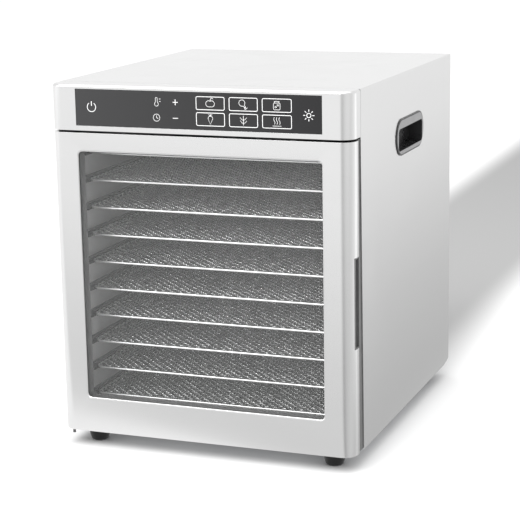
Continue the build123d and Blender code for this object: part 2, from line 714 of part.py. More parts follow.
# ------------------------------------------------------------------ mains inlet
with BuildPart() as inlet_socket:
    with BuildSketch(upright(back - casing_sheet)):
        with Locations((inlet_x, inlet_z)):
            RectangleRounded(inlet_flange_width, inlet_flange_height, 4)
    extrude(amount=-inlet_flange_depth)
    with BuildSketch(upright(back - casing_sheet)):
        with Locations((inlet_x, inlet_z)):
            RectangleRounded(inlet_body_width, inlet_body_height, 2)
    extrude(amount=inlet_body_depth)
    with BuildSketch(upright(back + 3)) as inlet_mouth:
        with Locations((inlet_x, inlet_z)):
            Rectangle(inlet_mouth_width, inlet_mouth_height)
        chamfer(inlet_mouth.vertices().group_by(Axis.Y)[-1], length=inlet_mouth_chamfer)
    extrude(amount=inlet_body_depth, mode=Mode.SUBTRACT)
    for side in (-1, 1):
        rod(inlet_x + side * inlet_screw_x, inlet_z, screw_radius + hole_clearance, back - 2, back + 4,
            mode=Mode.SUBTRACT)
inlet_socket.part.label = "inlet_socket"

with BuildPart() as inlet_pins:
    for x, z in ((-7, -2.5), (7, -2.5), (0, 2)):
        block(inlet_x + x - 1, inlet_x + x + 1, back + 3 - inlet_body_depth, back - 2,
              inlet_z + z - 2, inlet_z + z + 2)
inlet_pins.part.label = "inlet_pins"

with BuildPart() as rear_screws:
    for x, z in rear_screw_places():
        rod(x, z, screw_radius, back - screw_length, back)
        rod(x, z, screw_head_radius, back, back + screw_head_height)
    for side in (-1, 1):
        x = inlet_x + side * inlet_screw_x
        rod(x, inlet_z, screw_radius, back - screw_length, back + 2)
        rod(x, inlet_z, screw_head_radius - 0.6, back + 2, back + 2 + screw_head_height)
rear_screws.part.label = "rear_screws"

# ----------------------------------------------------------------- side handles
cups = {}
for name, side in (("left_handle_cup", -1), ("right_handle_cup", 1)):
    with BuildPart() as cup:
        with BuildSketch(sideways(side * half)):
            with Locations((handle_y, handle_z)):
                SlotOverall(handle_length, handle_height)
        extrude(amount=side * handle_flange)
        with BuildSketch(sideways(side * half)):
            with Locations((handle_y, handle_z - grip_drop)):
                RectangleRounded(grip_length + 2 * cup_wall, grip_height + 2 * cup_wall, grip_radius)
        extrude(amount=-side * (cup_depth + cup_wall))
        with BuildSketch(sideways(side * (half + handle_flange))):
            with Locations((handle_y, handle_z - grip_drop)):
                RectangleRounded(grip_length, grip_height, grip_radius)
        extrude(amount=-side * (cup_depth + handle_flange), mode=Mode.SUBTRACT)
    cup.part.label = name
    cups[name] = cup

with BuildPart() as handle_bezels:
    for side in (-1, 1):
        with BuildSketch(sideways(side * (half + handle_flange))):
            with Locations((handle_y, handle_z)):
                SlotOverall(handle_length - 2 * bezel_inset, handle_height - 2 * bezel_inset)
            with Locations((handle_y, handle_z - grip_drop)):
                RectangleRounded(grip_length, grip_height, grip_radius, mode=Mode.SUBTRACT)
        extrude(amount=side * bezel_sheet)
handle_bezels.part.label = "handle_bezels"

# ------------------------------------------------------------------------ door
with BuildPart() as door_shell:
    with BuildSketch(Plane.XY.offset(door_bottom)):
        front_plan(0, door_back, hinge_back_radius)
    extrude(amount=door_height)
    with BuildSketch(Plane.XY.offset(door_bottom + door_sheet)):
        front_plan(door_sheet, door_back + 1)
    extrude(amount=door_height - 2 * door_sheet, mode=Mode.SUBTRACT)
    with BuildSketch(upright(front)):
        with Locations((0, (window_bottom + window_top) / 2)):
            RectangleRounded(2 * window_half, window_top - window_bottom, window_radius)
    extrude(amount=-2 * door_sheet, mode=Mode.SUBTRACT)
    face = door_shell.faces().sort_by(Axis.Y)[0]
    chamfer(face.inner_wires().edges(), length=window_bevel, length2=window_bevel_depth, reference=face)
    block(half - notch_reach, half + 1, front + notch_lip, door_back + 1,
          notch_base, notch_top, mode=Mode.SUBTRACT)
    post(hinge_x, hinge_y, bush_radius, door_bottom - 1, door_top + 1, mode=Mode.SUBTRACT)
door_shell.part.label = "door_shell"

gasket_front = front + door_sheet
pane_front = gasket_front + gasket_thickness
pane_back = pane_front + glass_thickness
pane_half = window_half + glass_lap
pane_bottom = window_bottom - glass_lap
pane_top = window_top + glass_lap

with BuildPart() as glass_gasket:
    block(-pane_half, pane_half, gasket_front, pane_front, pane_bottom, pane_top)
    with BuildSketch(upright(gasket_front)):
        with Locations((0, (window_bottom + window_top) / 2)):
            RectangleRounded(2 * window_half + 1, window_top - window_bottom + 1, window_radius)
    extrude(amount=-gasket_thickness, mode=Mode.SUBTRACT)
glass_gasket.part.label = "glass_gasket"

with BuildPart() as door_glass:
    block(-pane_half, pane_half, pane_front, pane_back, pane_bottom, pane_top)
    fillet(door_glass.edges().filter_by(Axis.Y), radius=3)
door_glass.part.label = "door_glass"

with BuildPart() as door_inner_frame:
    frame_inset = door_sheet + inner_frame_gap
    with BuildSketch(Plane.XY.offset(door_bottom + frame_inset)):
        front_plan(frame_inset, door_back)
    extrude(amount=door_height - 2 * frame_inset)
    y_inner = pane_back + inner_frame_gap
    block(-half, half, front, y_inner, door_bottom, door_top, mode=Mode.SUBTRACT)
    with BuildSketch(upright(front)):
        with Locations((0, (window_bottom + window_top) / 2)):
            RectangleRounded(2 * (window_half + inner_opening_lap),
                             window_top - window_bottom + 2 * inner_opening_lap, window_radius)
    extrude(amount=-2 * door_thickness, mode=Mode.SUBTRACT)
    x_out = half - frame_inset - inner_frame_wall - 2
    x_in = window_half + inner_opening_lap + inner_frame_wall
    y_pocket = door_back - inner_frame_wall
    for side in (-1, 1):
        x_pocket = sorted((side * x_out, side * x_in))
        block(x_pocket[0], x_pocket[1], y_inner - 1, y_pocket, window_bottom, window_top,
              mode=Mode.SUBTRACT)
    rail_wall = inner_opening_lap + inner_frame_wall
    for low, high in ((door_bottom + rail_wall, window_bottom - rail_wall),
                      (window_top + rail_wall, door_top - rail_wall)):
        block(-x_in, x_in, y_inner - 1, y_pocket, low, high, mode=Mode.SUBTRACT)
    for x, z in rail_screw_places():
        rod(x, z, rail_boss_radius, y_inner, y_pocket)
        rod(x, z, screw_radius - 0.2, y_inner, door_back + 1, mode=Mode.SUBTRACT)
        rod(x, z, screw_head_radius - 0.6, door_back - 1.6, door_back + 1, mode=Mode.SUBTRACT)
    x_notch = half - notch_reach - fit_gap
    block(x_notch, half, front, door_back + 1, notch_base - fit_gap, notch_top + fit_gap, mode=Mode.SUBTRACT)
    block(x_notch - notch_wall, x_notch, y_inner, door_back, notch_base - fit_gap - notch_wall,
          notch_top + fit_gap + notch_wall)
    pocket_half, pocket_reach = magnet_width / 2 + magnet_gap, magnet_length / 2 + magnet_gap
    y_magnet = door_back - magnet_depth - magnet_gap
    for z in magnet_places:
        block(magnet_x - pocket_half, magnet_x + pocket_half, y_magnet - magnet_wall + magnet_gap,
              door_back + 1, z - pocket_reach - magnet_wall, z + pocket_reach + magnet_wall)
        block(magnet_x - pocket_half, magnet_x + pocket_half, y_magnet, door_back + 2, z - pocket_reach,
              z + pocket_reach, mode=Mode.SUBTRACT)
    block(-half, half, door_back, door_back + 3, door_bottom, door_top, mode=Mode.SUBTRACT)
    post(hinge_x, hinge_y, bush_radius, door_bottom, door_top, mode=Mode.SUBTRACT)
door_inner_frame.part.label = "door_inner_frame"

with BuildPart() as door_seal:
    seal_inner_half = chamber_half + seal_lap
    seal_low, seal_high = chamber_floor_top - seal_lap, chamber_roof_base + seal_lap
    block(-seal_inner_half - seal_width, seal_inner_half + seal_width, door_back, frame_front - seal_gap,
          seal_low - seal_width, seal_high + seal_width)
    fillet(door_seal.edges().filter_by(Axis.Y), radius=seal_width)
    block(-seal_inner_half, seal_inner_half, door_back - 1, frame_front, seal_low, seal_high,
          mode=Mode.SUBTRACT)
    fillet(door_seal.faces().sort_by(Axis.Y)[-1].edges(), radius=1.2)
door_seal.part.label = "door_seal"

with BuildPart() as door_grip:
    block(half - notch_reach, half - fit_gap, front + notch_lip, door_back, notch_base, notch_top)
    block(half - notch_reach + grip_wall, half + 1, front + notch_lip + grip_wall, door_back + 1,
          notch_base + grip_wall, notch_top - grip_wall, mode=Mode.SUBTRACT)
door_grip.part.label = "door_grip"

with BuildPart() as door_magnets:
    for z in magnet_places:
        block(magnet_x - magnet_width / 2, magnet_x + magnet_width / 2, door_back - magnet_depth, door_back,
              z - magnet_length / 2, z + magnet_length / 2)
door_magnets.part.label = "door_magnets"

with BuildPart() as catch_plates:
    for z in magnet_places:
        block(magnet_x - magnet_width / 2, magnet_x + magnet_width / 2, frame_front - catch_thickness,
              frame_front, z - magnet_length / 2 - catch_overhang, z + magnet_length / 2 + catch_overhang)
catch_plates.part.label = "catch_plates"

with BuildPart() as hinge_bushes:
    bush_length = pin_length + 2
    post(hinge_x, hinge_y, bush_radius, door_bottom, door_bottom + bush_length)
    post(hinge_x, hinge_y, bush_radius, door_top - bush_length, door_top)
    post(hinge_x, hinge_y, pin_radius + pin_clearance, door_bottom - 1, door_bottom + bush_length - 1,
         mode=Mode.SUBTRACT)
    post(hinge_x, hinge_y, pin_radius + pin_clearance, door_top - bush_length + 1, door_top + 1,
         mode=Mode.SUBTRACT)
hinge_bushes.part.label = "hinge_bushes"

with BuildPart() as door_screws:
    for x, z in rail_screw_places():
        rod(x, z, screw_head_radius - 0.8, door_back - 1.6, door_back)
        rod(x, z, screw_radius - 0.3, pane_back + 1, door_back - 1.6)
door_screws.part.label = "door_screws"

# ----------------------------------------------------------------- door hinges
with BuildPart() as lower_hinge:
    with BuildSketch(Plane.XY.offset(base - hinge_plate)):
        plate_back = frame_front + hinge_plate_reach
        with Locations((hinge_x, (hinge_y + plate_back) / 2)):
            SlotOverall(plate_back - hinge_y + 2 * pin_radius + 4, 2 * pin_radius + 5, rotation=90)
    extrude(amount=hinge_plate)
    post(hinge_x, hinge_y, pin_radius, base, door_bottom + pin_length)
    post(hinge_x, hinge_y, hinge_head_radius, base - hinge_plate - hinge_head_height, base - hinge_plate)
lower_hinge.part.label = "lower_hinge"

with BuildPart() as upper_hinge:
    with BuildSketch(Plane.XY.offset(frame_top)):
        plate_back = frame_front + upper_plate_reach
        with Locations((hinge_x + 1, (hinge_y + plate_back) / 2)):
            SlotOverall(plate_back - hinge_y + 2 * pin_radius + 3, 2 * pin_radius + 3, rotation=90)
    extrude(amount=upper_plate)
    post(hinge_x, hinge_y, pin_radius, door_top - pin_length, frame_top + upper_plate)
upper_hinge.part.label = "upper_hinge"

# ------------------------------------------------------------------------ trays
trays = []
tray_front = frame_front + tray_inset - tray_wire / 2
tray_back = baffle_front - fit_gap
for number in range(tray_count):
    with BuildPart() as tray:
        z_tray = lowest_tray + number * tray_pitch
        with BuildSketch(Plane.XY.offset(z_tray - tray_wire / 2)):
            with Locations((0, (tray_front + tray_back) / 2)):
                RectangleRounded(2 * tray_half, tray_back - tray_front, tray_corner)
                RectangleRounded(2 * (tray_half - tray_wire), tray_back - tray_front - 2 * tray_wire,
                                 tray_corner - tray_wire, mode=Mode.SUBTRACT)
        extrude(amount=tray_wire)
        with BuildSketch(Plane.XY.offset(z_tray - tray_mesh / 2)):
            with Locations((0, (tray_front + tray_back) / 2)):
                RectangleRounded(2 * tray_half - tray_wire, tray_back - tray_front - tray_wire,
                                 tray_corner - tray_wire / 2)
        extrude(amount=tray_mesh)
    tray.part.label = f"tray_{number + 1:02d}"
    trays.append(tray)

# ------------------------------------------------------------------------ files
fixed = [
    outer_casing, base_pan, back_panel, rear_cover, feet, foot_screws, front_frame, fascia,
    control_glass, touch_board, display_module, power_board, chamber_roof, chamber_floor,
    chamber_rear_wall, air_baffle, heater_element, temperature_sensor, thermal_cutout, lamp_lens,
    lamp_holder, motor_stator, motor_coil, motor_brackets, motor_bearings, motor_screws,
    inlet_socket, inlet_pins, rear_screws, handle_bezels, catch_plates, lower_hinge, upper_hinge,
]
fan = [fan_blade, fan_nut, motor_rotor]
door = [
    door_shell, glass_gasket, door_glass, door_inner_frame, door_seal, door_grip, door_magnets,
    hinge_bushes, door_screws,
]
for piece in fixed + list(liners.values()) + list(cups.values()) + fan + door + trays:
    export_step(piece.part, f"parts/{piece.part.label}.step")
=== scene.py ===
"""Looks for a ten-tray food dehydrator, built round its packed CAD frame.

Lengths are metres in the frame's own axes: +Z up, the door faces -Y.
"""

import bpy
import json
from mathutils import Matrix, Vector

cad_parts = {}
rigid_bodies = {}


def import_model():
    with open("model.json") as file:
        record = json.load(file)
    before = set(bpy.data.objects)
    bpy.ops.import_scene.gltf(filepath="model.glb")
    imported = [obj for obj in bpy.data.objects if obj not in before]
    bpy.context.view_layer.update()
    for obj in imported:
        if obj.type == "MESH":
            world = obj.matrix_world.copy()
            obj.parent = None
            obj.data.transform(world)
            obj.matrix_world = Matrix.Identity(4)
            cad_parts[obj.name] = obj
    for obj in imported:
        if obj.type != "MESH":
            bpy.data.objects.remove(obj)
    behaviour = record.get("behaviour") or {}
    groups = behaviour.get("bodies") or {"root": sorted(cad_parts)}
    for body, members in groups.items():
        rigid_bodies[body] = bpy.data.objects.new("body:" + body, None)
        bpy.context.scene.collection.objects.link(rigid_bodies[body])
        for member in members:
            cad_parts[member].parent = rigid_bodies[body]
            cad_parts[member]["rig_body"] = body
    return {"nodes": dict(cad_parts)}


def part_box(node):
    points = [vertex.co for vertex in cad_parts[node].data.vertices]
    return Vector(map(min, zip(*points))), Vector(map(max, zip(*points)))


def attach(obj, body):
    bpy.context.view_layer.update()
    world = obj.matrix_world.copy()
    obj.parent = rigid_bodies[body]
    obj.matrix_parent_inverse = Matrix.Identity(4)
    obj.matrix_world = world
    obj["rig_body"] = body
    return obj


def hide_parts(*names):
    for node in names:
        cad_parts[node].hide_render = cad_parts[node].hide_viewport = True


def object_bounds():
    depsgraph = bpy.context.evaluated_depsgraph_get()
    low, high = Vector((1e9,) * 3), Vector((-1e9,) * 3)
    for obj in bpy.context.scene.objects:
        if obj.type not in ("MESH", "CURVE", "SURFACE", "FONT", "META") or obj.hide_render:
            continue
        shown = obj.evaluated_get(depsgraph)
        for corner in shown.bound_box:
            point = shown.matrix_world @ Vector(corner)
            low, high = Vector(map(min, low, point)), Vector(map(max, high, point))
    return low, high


bl_info = {
    "name": "Food dehydrator",
    "version": (1, 0, 0),
    "blender": (4, 5, 0),
    "location": "View3D > Sidebar > Dehydrator",
    "description": "Builds the finished pieces of a ten-tray food dehydrator",
    "category": "Object",
}

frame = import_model()
cad_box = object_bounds()

import json
from math import cos, pi, radians, sin

import bmesh
import bpy
from bpy.props import FloatProperty, FloatVectorProperty, PointerProperty
from mathutils import Matrix, Vector

MM = 0.001
WELD = 1e-6                                         # points nearer than this become one
NODES = frame["nodes"]


# ---------------------------------------------------------------- small helpers
def shader_node(tree, kind, inputs=None, **settings):
    """Adds a node; inputs maps a socket's name or index to a value or to another node's output."""
    made = tree.nodes.new(kind)
    for key, value in settings.items():
        setattr(made, key, value)
    for key, value in (inputs or {}).items():
        if isinstance(value, bpy.types.NodeSocket):
            tree.links.new(value, made.inputs[key])
        else:
            made.inputs[key].default_value = value
    return made


def maths(tree, operation, *values):
    """One Math node; returns its result."""
    return shader_node(tree, "ShaderNodeMath", dict(enumerate(values)), operation=operation).outputs[0]


def times(tree, one, other):
    return maths(tree, "MULTIPLY", one, other)


def ranged(tree, value, low, high, to_low=0.0, to_high=1.0, **settings):
    """Map Range, held between its ends; returns its result."""
    return shader_node(tree, "ShaderNodeMapRange",
                       {"Value": value, "From Min": low, "From Max": high, "To Min": to_low, "To Max": to_high},
                       clamp=True, **settings).outputs[0]


def noise(tree, vector, scale, **inputs):
    return shader_node(tree, "ShaderNodeTexNoise", {"Vector": vector, "Scale": scale, **inputs}).outputs[0]


def scaled(tree, vector, factors):
    return shader_node(tree, "ShaderNodeVectorMath", {0: vector, 1: factors}, operation="MULTIPLY").outputs[0]


def split(tree, vector):
    return shader_node(tree, "ShaderNodeSeparateXYZ", {0: vector}).outputs


def new_object(name, mesh):
    made = bpy.data.objects.new(name, mesh)
    bpy.context.scene.collection.objects.link(made)
    return made


def shade(mesh, angle):
    """Smooth shading that stays crisp at real corners."""
    mesh.polygons.foreach_set("use_smooth", [True] * len(mesh.polygons))
    mesh.set_sharp_from_angle(angle=radians(angle))


def made_plain(thing, name):
    """The evaluated mesh of an object with modifiers, as a new object at the origin."""
    graph = bpy.context.evaluated_depsgraph_get()
    mesh = bpy.data.meshes.new_from_object(thing.evaluated_get(graph), depsgraph=graph)
    mesh.name = name
    bpy.data.objects.remove(thing)
    return new_object(name, mesh)


def refined(node, edge):
    """A merged copy of a CAD node with its sharp edges eased, which replaces the node."""
    shape = bmesh.new()
    shape.from_mesh(NODES[node].data)
    bmesh.ops.remove_doubles(shape, verts=shape.verts, dist=WELD)
    bmesh.ops.dissolve_limit(shape, angle_limit=radians(0.3), verts=shape.verts, edges=shape.edges)
    if edge > 0:
        sharp = [e for e in shape.edges if len(e.link_faces) == 2 and e.calc_face_angle(0) > radians(35)]
        bmesh.ops.bevel(shape, geom=sharp, offset=edge, segments=2, profile=0.5, affect="EDGES",
                        clamp_overlap=True)
    mesh = bpy.data.meshes.new(node + "_finished")
    shape.to_mesh(mesh)
    shape.free()
    shade(mesh, 40)
    piece = new_object(mesh.name, mesh)
    piece.modifiers.new("even_normals", "WEIGHTED_NORMAL").keep_sharp = True
    piece = made_plain(piece, mesh.name)
    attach(piece, NODES[node]["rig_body"])
    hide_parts(node)
    return piece


def dress(piece, material):
    """Gives a piece one material."""
    piece.data.materials.clear()
    piece.data.materials.append(material)


def settle(piece, body, slot, material, *nodes):
    """Finishes a new piece: its material, its body and the nodes that it stands for; its slot is not used."""
    if material is not None:
        dress(piece, material)
    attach(piece, body)
    if nodes:
        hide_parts(*nodes)


# --------------------------------------------------------- shared shader groups
def group_with(name, inputs, outputs):
    """An empty shader group that takes a vector and named numbers or vectors, and gives named numbers."""
    tree = bpy.data.node_groups.new(name, "ShaderNodeTree")
    tree.interface.new_socket(name="Vector", in_out="INPUT", socket_type="NodeSocketVector")
    for label, default in inputs.items():
        kind = "NodeSocketFloat" if isinstance(default, float) else "NodeSocketVector"
        tree.interface.new_socket(name=label, in_out="INPUT", socket_type=kind).default_value = default
    for label in outputs:
        tree.interface.new_socket(name=label, in_out="OUTPUT", socket_type="NodeSocketFloat")
    return tree, tree.nodes.new("NodeGroupInput").outputs, tree.nodes.new("NodeGroupOutput").inputs


def grain_group():
    """Fine rolled or brushed grain: a height, and a broader tone."""
    tree, given, out = group_with("sheet_grain", {"Stretch": (1, 1, 1), "Fineness": 900.0}, ("Height", "Tone"))
    stretched = scaled(tree, given["Vector"], given["Stretch"])
    tree.links.new(noise(tree, stretched, given["Fineness"], Detail=5.0, Roughness=0.6), out["Height"])
    tree.links.new(noise(tree, stretched, 40.0, Detail=2.0), out["Tone"])
    return tree


def smudge_group():
    """Faint handling marks: a mask of soft patches."""
    tree, given, out = group_with("smudges", {"Size": 14.0, "Amount": 0.5}, ("Mask",))
    patch = noise(tree, given["Vector"], given["Size"], Detail=4.0, Distortion=0.6)
    tree.links.new(times(tree, ranged(tree, patch, 0.45, 0.75), given["Amount"]), out["Mask"])
    return tree


def wear_group():
    """Lighter, rubbed outer edges: a mask from how sharply the surface turns outwards."""
    tree, given, out = group_with("edge_wear", {"Amount": 0.5}, ("Mask",))
    edge = ranged(tree, tree.nodes.new("ShaderNodeNewGeometry").outputs["Pointiness"], 0.52, 0.62)
    rubbed = times(tree, edge, noise(tree, given["Vector"], 120.0, Detail=3.0))
    tree.links.new(times(tree, rubbed, given["Amount"]), out["Mask"])
    return tree


def dust_group():
    """Dust that settles on upward faces: a mask."""
    tree, given, out = group_with("settled_dust", {"Amount": 0.3}, ("Mask",))
    facing = split(tree, tree.nodes.new("ShaderNodeNewGeometry").outputs["Normal"])
    drift = times(tree, ranged(tree, facing[2], 0.3, 1.0),
                  noise(tree, given["Vector"], 700.0, Detail=2.0))
    tree.links.new(times(tree, drift, given["Amount"]), out["Mask"])
    return tree


GROUP_MAKERS = {"grain": grain_group, "smudge": smudge_group, "wear": wear_group, "dust": dust_group}
GROUPS = {}


def shared(tree, name, where, **inputs):
    """Places one of the shared groups in a material's tree; returns its outputs."""
    if name not in GROUPS:
        GROUPS[name] = GROUP_MAKERS[name]()
    return shader_node(tree, "ShaderNodeGroup", {"Vector": where, **inputs}, node_tree=GROUPS[name]).outputs


# -------------------------------------------------------------------- materials
def surface(name, **sockets):
    """A new material with one Principled shader; returns it, its tree, its shader and object coordinates."""
    material = bpy.data.materials.new(name)
    material.use_nodes = True
    tree = material.node_tree
    shader = tree.nodes["Principled BSDF"]
    for label, value in {"Roughness": 0.5, "Metallic": 0.0, **sockets}.items():
        shader.inputs[label.replace("_", " ")].default_value = value
    return material, tree, shader, tree.nodes.new("ShaderNodeTexCoord").outputs["Object"]


def opaque(colour):
    """A colour, or a grey given as one number, with its alpha."""
    return (*colour, 1) if isinstance(colour, tuple) else (colour, colour, colour, 1)


def tinted(tree, shader, mask, colour, marked):
    """Base colour that runs from one colour to another with a mask."""
    mix = shader_node(tree, "ShaderNodeMix", {0: mask, 6: opaque(colour), 7: opaque(marked)}, data_type="RGBA")
    tree.links.new(mix.outputs[2], shader.inputs["Base Color"])


def varied(tree, shader, mask, low, high):
    """Roughness that runs between two values with a mask."""
    tree.links.new(ranged(tree, mask, 0.0, 1.0, low, high), shader.inputs["Roughness"])


def bumped(tree, shader, height, strength, distance=0.0002):
    """Fine relief that follows a height."""
    bump = shader_node(tree, "ShaderNodeBump", {"Strength": strength, "Distance": distance, "Height": height})
    tree.links.new(bump.outputs[0], shader.inputs["Normal"])


def sheet_steel(name, colour, dark, stretch, smooth, rough, bump=0.06, metallic=1.0):
    """Satin sheet metal: directional grain and faint handling marks."""
    material, tree, shader, where = surface(name, Metallic=metallic)
    grain = shared(tree, "grain", where, Stretch=stretch, Fineness=900.0)
    marks = shared(tree, "smudge", where, Size=9.0, Amount=0.6)
    tinted(tree, shader, grain["Tone"], dark, colour)
    varied(tree, shader, maths(tree, "ADD", grain["Height"], marks["Mask"]), smooth, rough)
    bumped(tree, shader, grain["Height"], bump)
    return material


def casing_steel():
    look = bpy.context.scene.dehydrator_steel
    return sheet_steel("satin_casing_sheet", tuple(look.tone), tuple(c * 0.965 for c in look.tone), (1, 0.03, 1),
                       look.smoothest, look.roughest)


def front_steel():
    look = bpy.context.scene.dehydrator_steel
    return sheet_steel("satin_front_sheet", tuple(look.front_tone), tuple(c * 0.97 for c in look.front_tone),
                       (0.03, 1, 1), look.smoothest, look.roughest)


def plated_steel():
    """Zinc plate with its leafy crystals."""
    material, tree, shader, where = surface("zinc_plated_sheet", Metallic=1.0)
    leaf = shader_node(tree, "ShaderNodeTexVoronoi", {"Vector": where, "Scale": 60.0, "Randomness": 1.0})
    tone = shader_node(tree, "ShaderNodeSeparateColor", {0: leaf.outputs["Color"]}).outputs[0]
    tinted(tree, shader, tone, (0.50, 0.51, 0.53), (0.66, 0.67, 0.68))
    varied(tree, shader, shared(tree, "smudge", where, Size=12.0, Amount=0.7)["Mask"], 0.36, 0.55)
    bumped(tree, shader, shared(tree, "grain", where, Fineness=500.0)["Height"], 0.1)
    return material


def wire_steel():
    """Woven wire with painted light: a painted glint along the tops of the weave and painted shade down in its
    hollows.
    """
    material, tree, shader, where = surface("drawn_stainless_wire", Metallic=1.0)
    look = bpy.context.scene.dehydrator_trays
    shade_between, glint_patchiness = -0.7, 0.005                # painted shade that falls between lengthways wires; how patchy the painted glint is
    glint_from, glint_to = 0.0019, 0.0035             # heights over a tray's middle where the painted glint begins and ends
    low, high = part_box("tray_01")
    first, second = (sum(corner.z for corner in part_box(name)) / 2 for name in ("tray_01", "tray_02"))
    rise = second - first
    width = high.x - low.x - look.rim_wire
    step = width / round(width / look.pitch)
    place = split(tree, where)
    level = maths(tree, "FLOORED_MODULO", maths(tree, "SUBTRACT", place[2], first - rise / 2), rise)
    between = maths(tree, "PINGPONG", maths(tree, "SUBTRACT", place[0], low.x + look.rim_wire / 2), step / 2)
    crest = maths(tree, "MULTIPLY_ADD", between, shade_between, level)
    patches = noise(tree, scaled(tree, where, (1.0, 0.3, 1.0)), 210.0, Detail=1.0)
    painted_glint = ranged(tree, maths(tree, "MULTIPLY_ADD", patches, glint_patchiness, crest), rise / 2 + glint_from,
                   rise / 2 + glint_to)
    # Painted light: base colour runs from painted shade (0.16) to painted highlight (1.0) with the glint, and
    # roughness falls with it
    tinted(tree, shader, painted_glint, 0.16, 1.0)
    varied(tree, shader, painted_glint, 0.38, 0.16)
    return material


def bright_wire():
    material, tree, shader, where = surface("polished_tray_rim", Metallic=1.0)
    grain = shared(tree, "grain", where, Stretch=(0.1, 0.1, 1), Fineness=400.0)
    tinted(tree, shader, grain["Tone"], 0.88, 0.98)
    varied(tree, shader, grain["Height"], 0.3, 0.5)
    return material


def painted(name, colour, rubbed, low, high, bump=0.1, fineness=700.0, **sockets):
    """Painted or moulded surface with orange peel, rubbed edges and dust."""
    material, tree, shader, where = surface(name, **sockets)
    wear = shared(tree, "wear", where, Amount=0.8)
    dust = shared(tree, "dust", where, Amount=0.12)
    both = shader_node(tree, "ShaderNodeMath", {0: wear["Mask"], 1: dust["Mask"]}, operation="ADD", use_clamp=True)
    tinted(tree, shader, both.outputs[0], colour, rubbed)
    varied(tree, shader, shared(tree, "smudge", where, Size=30.0, Amount=0.8)["Mask"], low, high)
    bumped(tree, shader, shared(tree, "grain", where, Fineness=fineness)["Height"], bump, 0.0004)
    return material


def tinted_glass():
    """Dark control glass, with painted light: a little less dark at its left end."""
    material, tree, shader, where = surface("tinted_control_glass", Roughness=0.12, IOR=1.45)
    # Painted light: the base colour grows lighter towards the glass's left end
    tinted(tree, shader, ranged(tree, split(tree, where)[0], -0.14, 0.14), (0.032, 0.032, 0.033),
           (0.008, 0.008, 0.009))
    varied(tree, shader, shared(tree, "smudge", where, Size=25.0, Amount=1.0)["Mask"], 0.10, 0.2)
    return material


def printed_white():
    material, tree, shader, where = surface("printed_symbols")
    tinted(tree, shader, shared(tree, "grain", where, Fineness=600.0)["Height"], 0.80, 0.92)
    return material


def clear_glass():
    """Clear pane: mostly see-through, with faint wiping marks in its gloss."""
    material, tree, shader, where = surface("clear_door_glass", Roughness=0.03, IOR=1.5, Alpha=0.055,
                                            Base_Color=(0.62, 0.63, 0.625, 1))
    varied(tree, shader, shared(tree, "smudge", where, Size=8.0, Amount=0.5)["Mask"], 0.02, 0.12)
    return material


def frosted_glass():
    material, tree, shader, where = surface("frosted_lamp_lens", Transmission_Weight=0.6, IOR=1.45)
    ripple = shared(tree, "grain", where, Fineness=500.0)
    tinted(tree, shader, ripple["Tone"], (0.85, 0.85, 0.80), (0.95, 0.95, 0.92))
    varied(tree, shader, ripple["Height"], 0.3, 0.5)
    return material


def circuit_board():
    """Solder mask with tracks and pads."""
    material, tree, shader, where = surface("circuit_board", Roughness=0.35)
    tracks = shader_node(tree, "ShaderNodeTexBrick",
                         {"Vector": where, "Scale": 120.0, "Mortar Size": 0.06, "Color1": (0.01, 0.09, 0.04, 1),
                          "Color2": (0.012, 0.12, 0.05, 1), "Mortar": (0.04, 0.22, 0.10, 1)})
    tree.links.new(tracks.outputs[0], shader.inputs["Base Color"])
    bumped(tree, shader, tracks.outputs[1], 0.2)
    return material


def banded(name, metallic, direction, fineness, distortion, dark, light, low, high, strength, depth, **sockets):
    """Even bands side by side: wound wire, or thin sheets seen on edge."""
    material, tree, shader, where = surface(name, Metallic=metallic, **sockets)
    bands = shader_node(tree, "ShaderNodeTexWave", {"Vector": where, "Scale": fineness, "Distortion": distortion},
                        bands_direction=direction).outputs[1]
    tinted(tree, shader, bands, dark, light)
    varied(tree, shader, bands, low, high)
    bumped(tree, shader, bands, strength, depth)
    return material


def winding():
    """Lacquered copper wire wound in even turns."""
    return banded("lacquered_winding", 0.8, "X", 500.0, 1.0, (0.28, 0.09, 0.03), (0.62, 0.28, 0.11), 0.25, 0.4,
                  0.6, 0.0004, Coat_Weight=0.6)


def laminations():
    """Stacked motor steel: thin sheets seen on edge."""
    return banded("stacked_motor_steel", 0.9, "Y", 600.0, 0.0, (0.12, 0.12, 0.13), (0.34, 0.34, 0.36), 0.35, 0.55,
                  0.4, 0.0003)


def cast_metal(name, colour, dark, low, high):
    """Bare or plated metal with a fine mottled skin."""
    material, tree, shader, where = surface(name, Metallic=1.0)
    skin = shared(tree, "grain", where, Fineness=450.0)
    tinted(tree, shader, skin["Tone"], dark, colour)
    varied(tree, shader, skin["Height"], low, high)
    bumped(tree, shader, skin["Height"], 0.15)
    return material


def heater_metal():
    """Tube steel blued by heat."""
    material, tree, shader, where = surface("heat_blued_tube", Metallic=0.9)
    patch = shared(tree, "smudge", where, Size=22.0, Amount=1.0)["Mask"]
    tinted(tree, shader, patch, (0.10, 0.09, 0.085), (0.16, 0.13, 0.17))
    varied(tree, shader, patch, 0.35, 0.6)
    return material


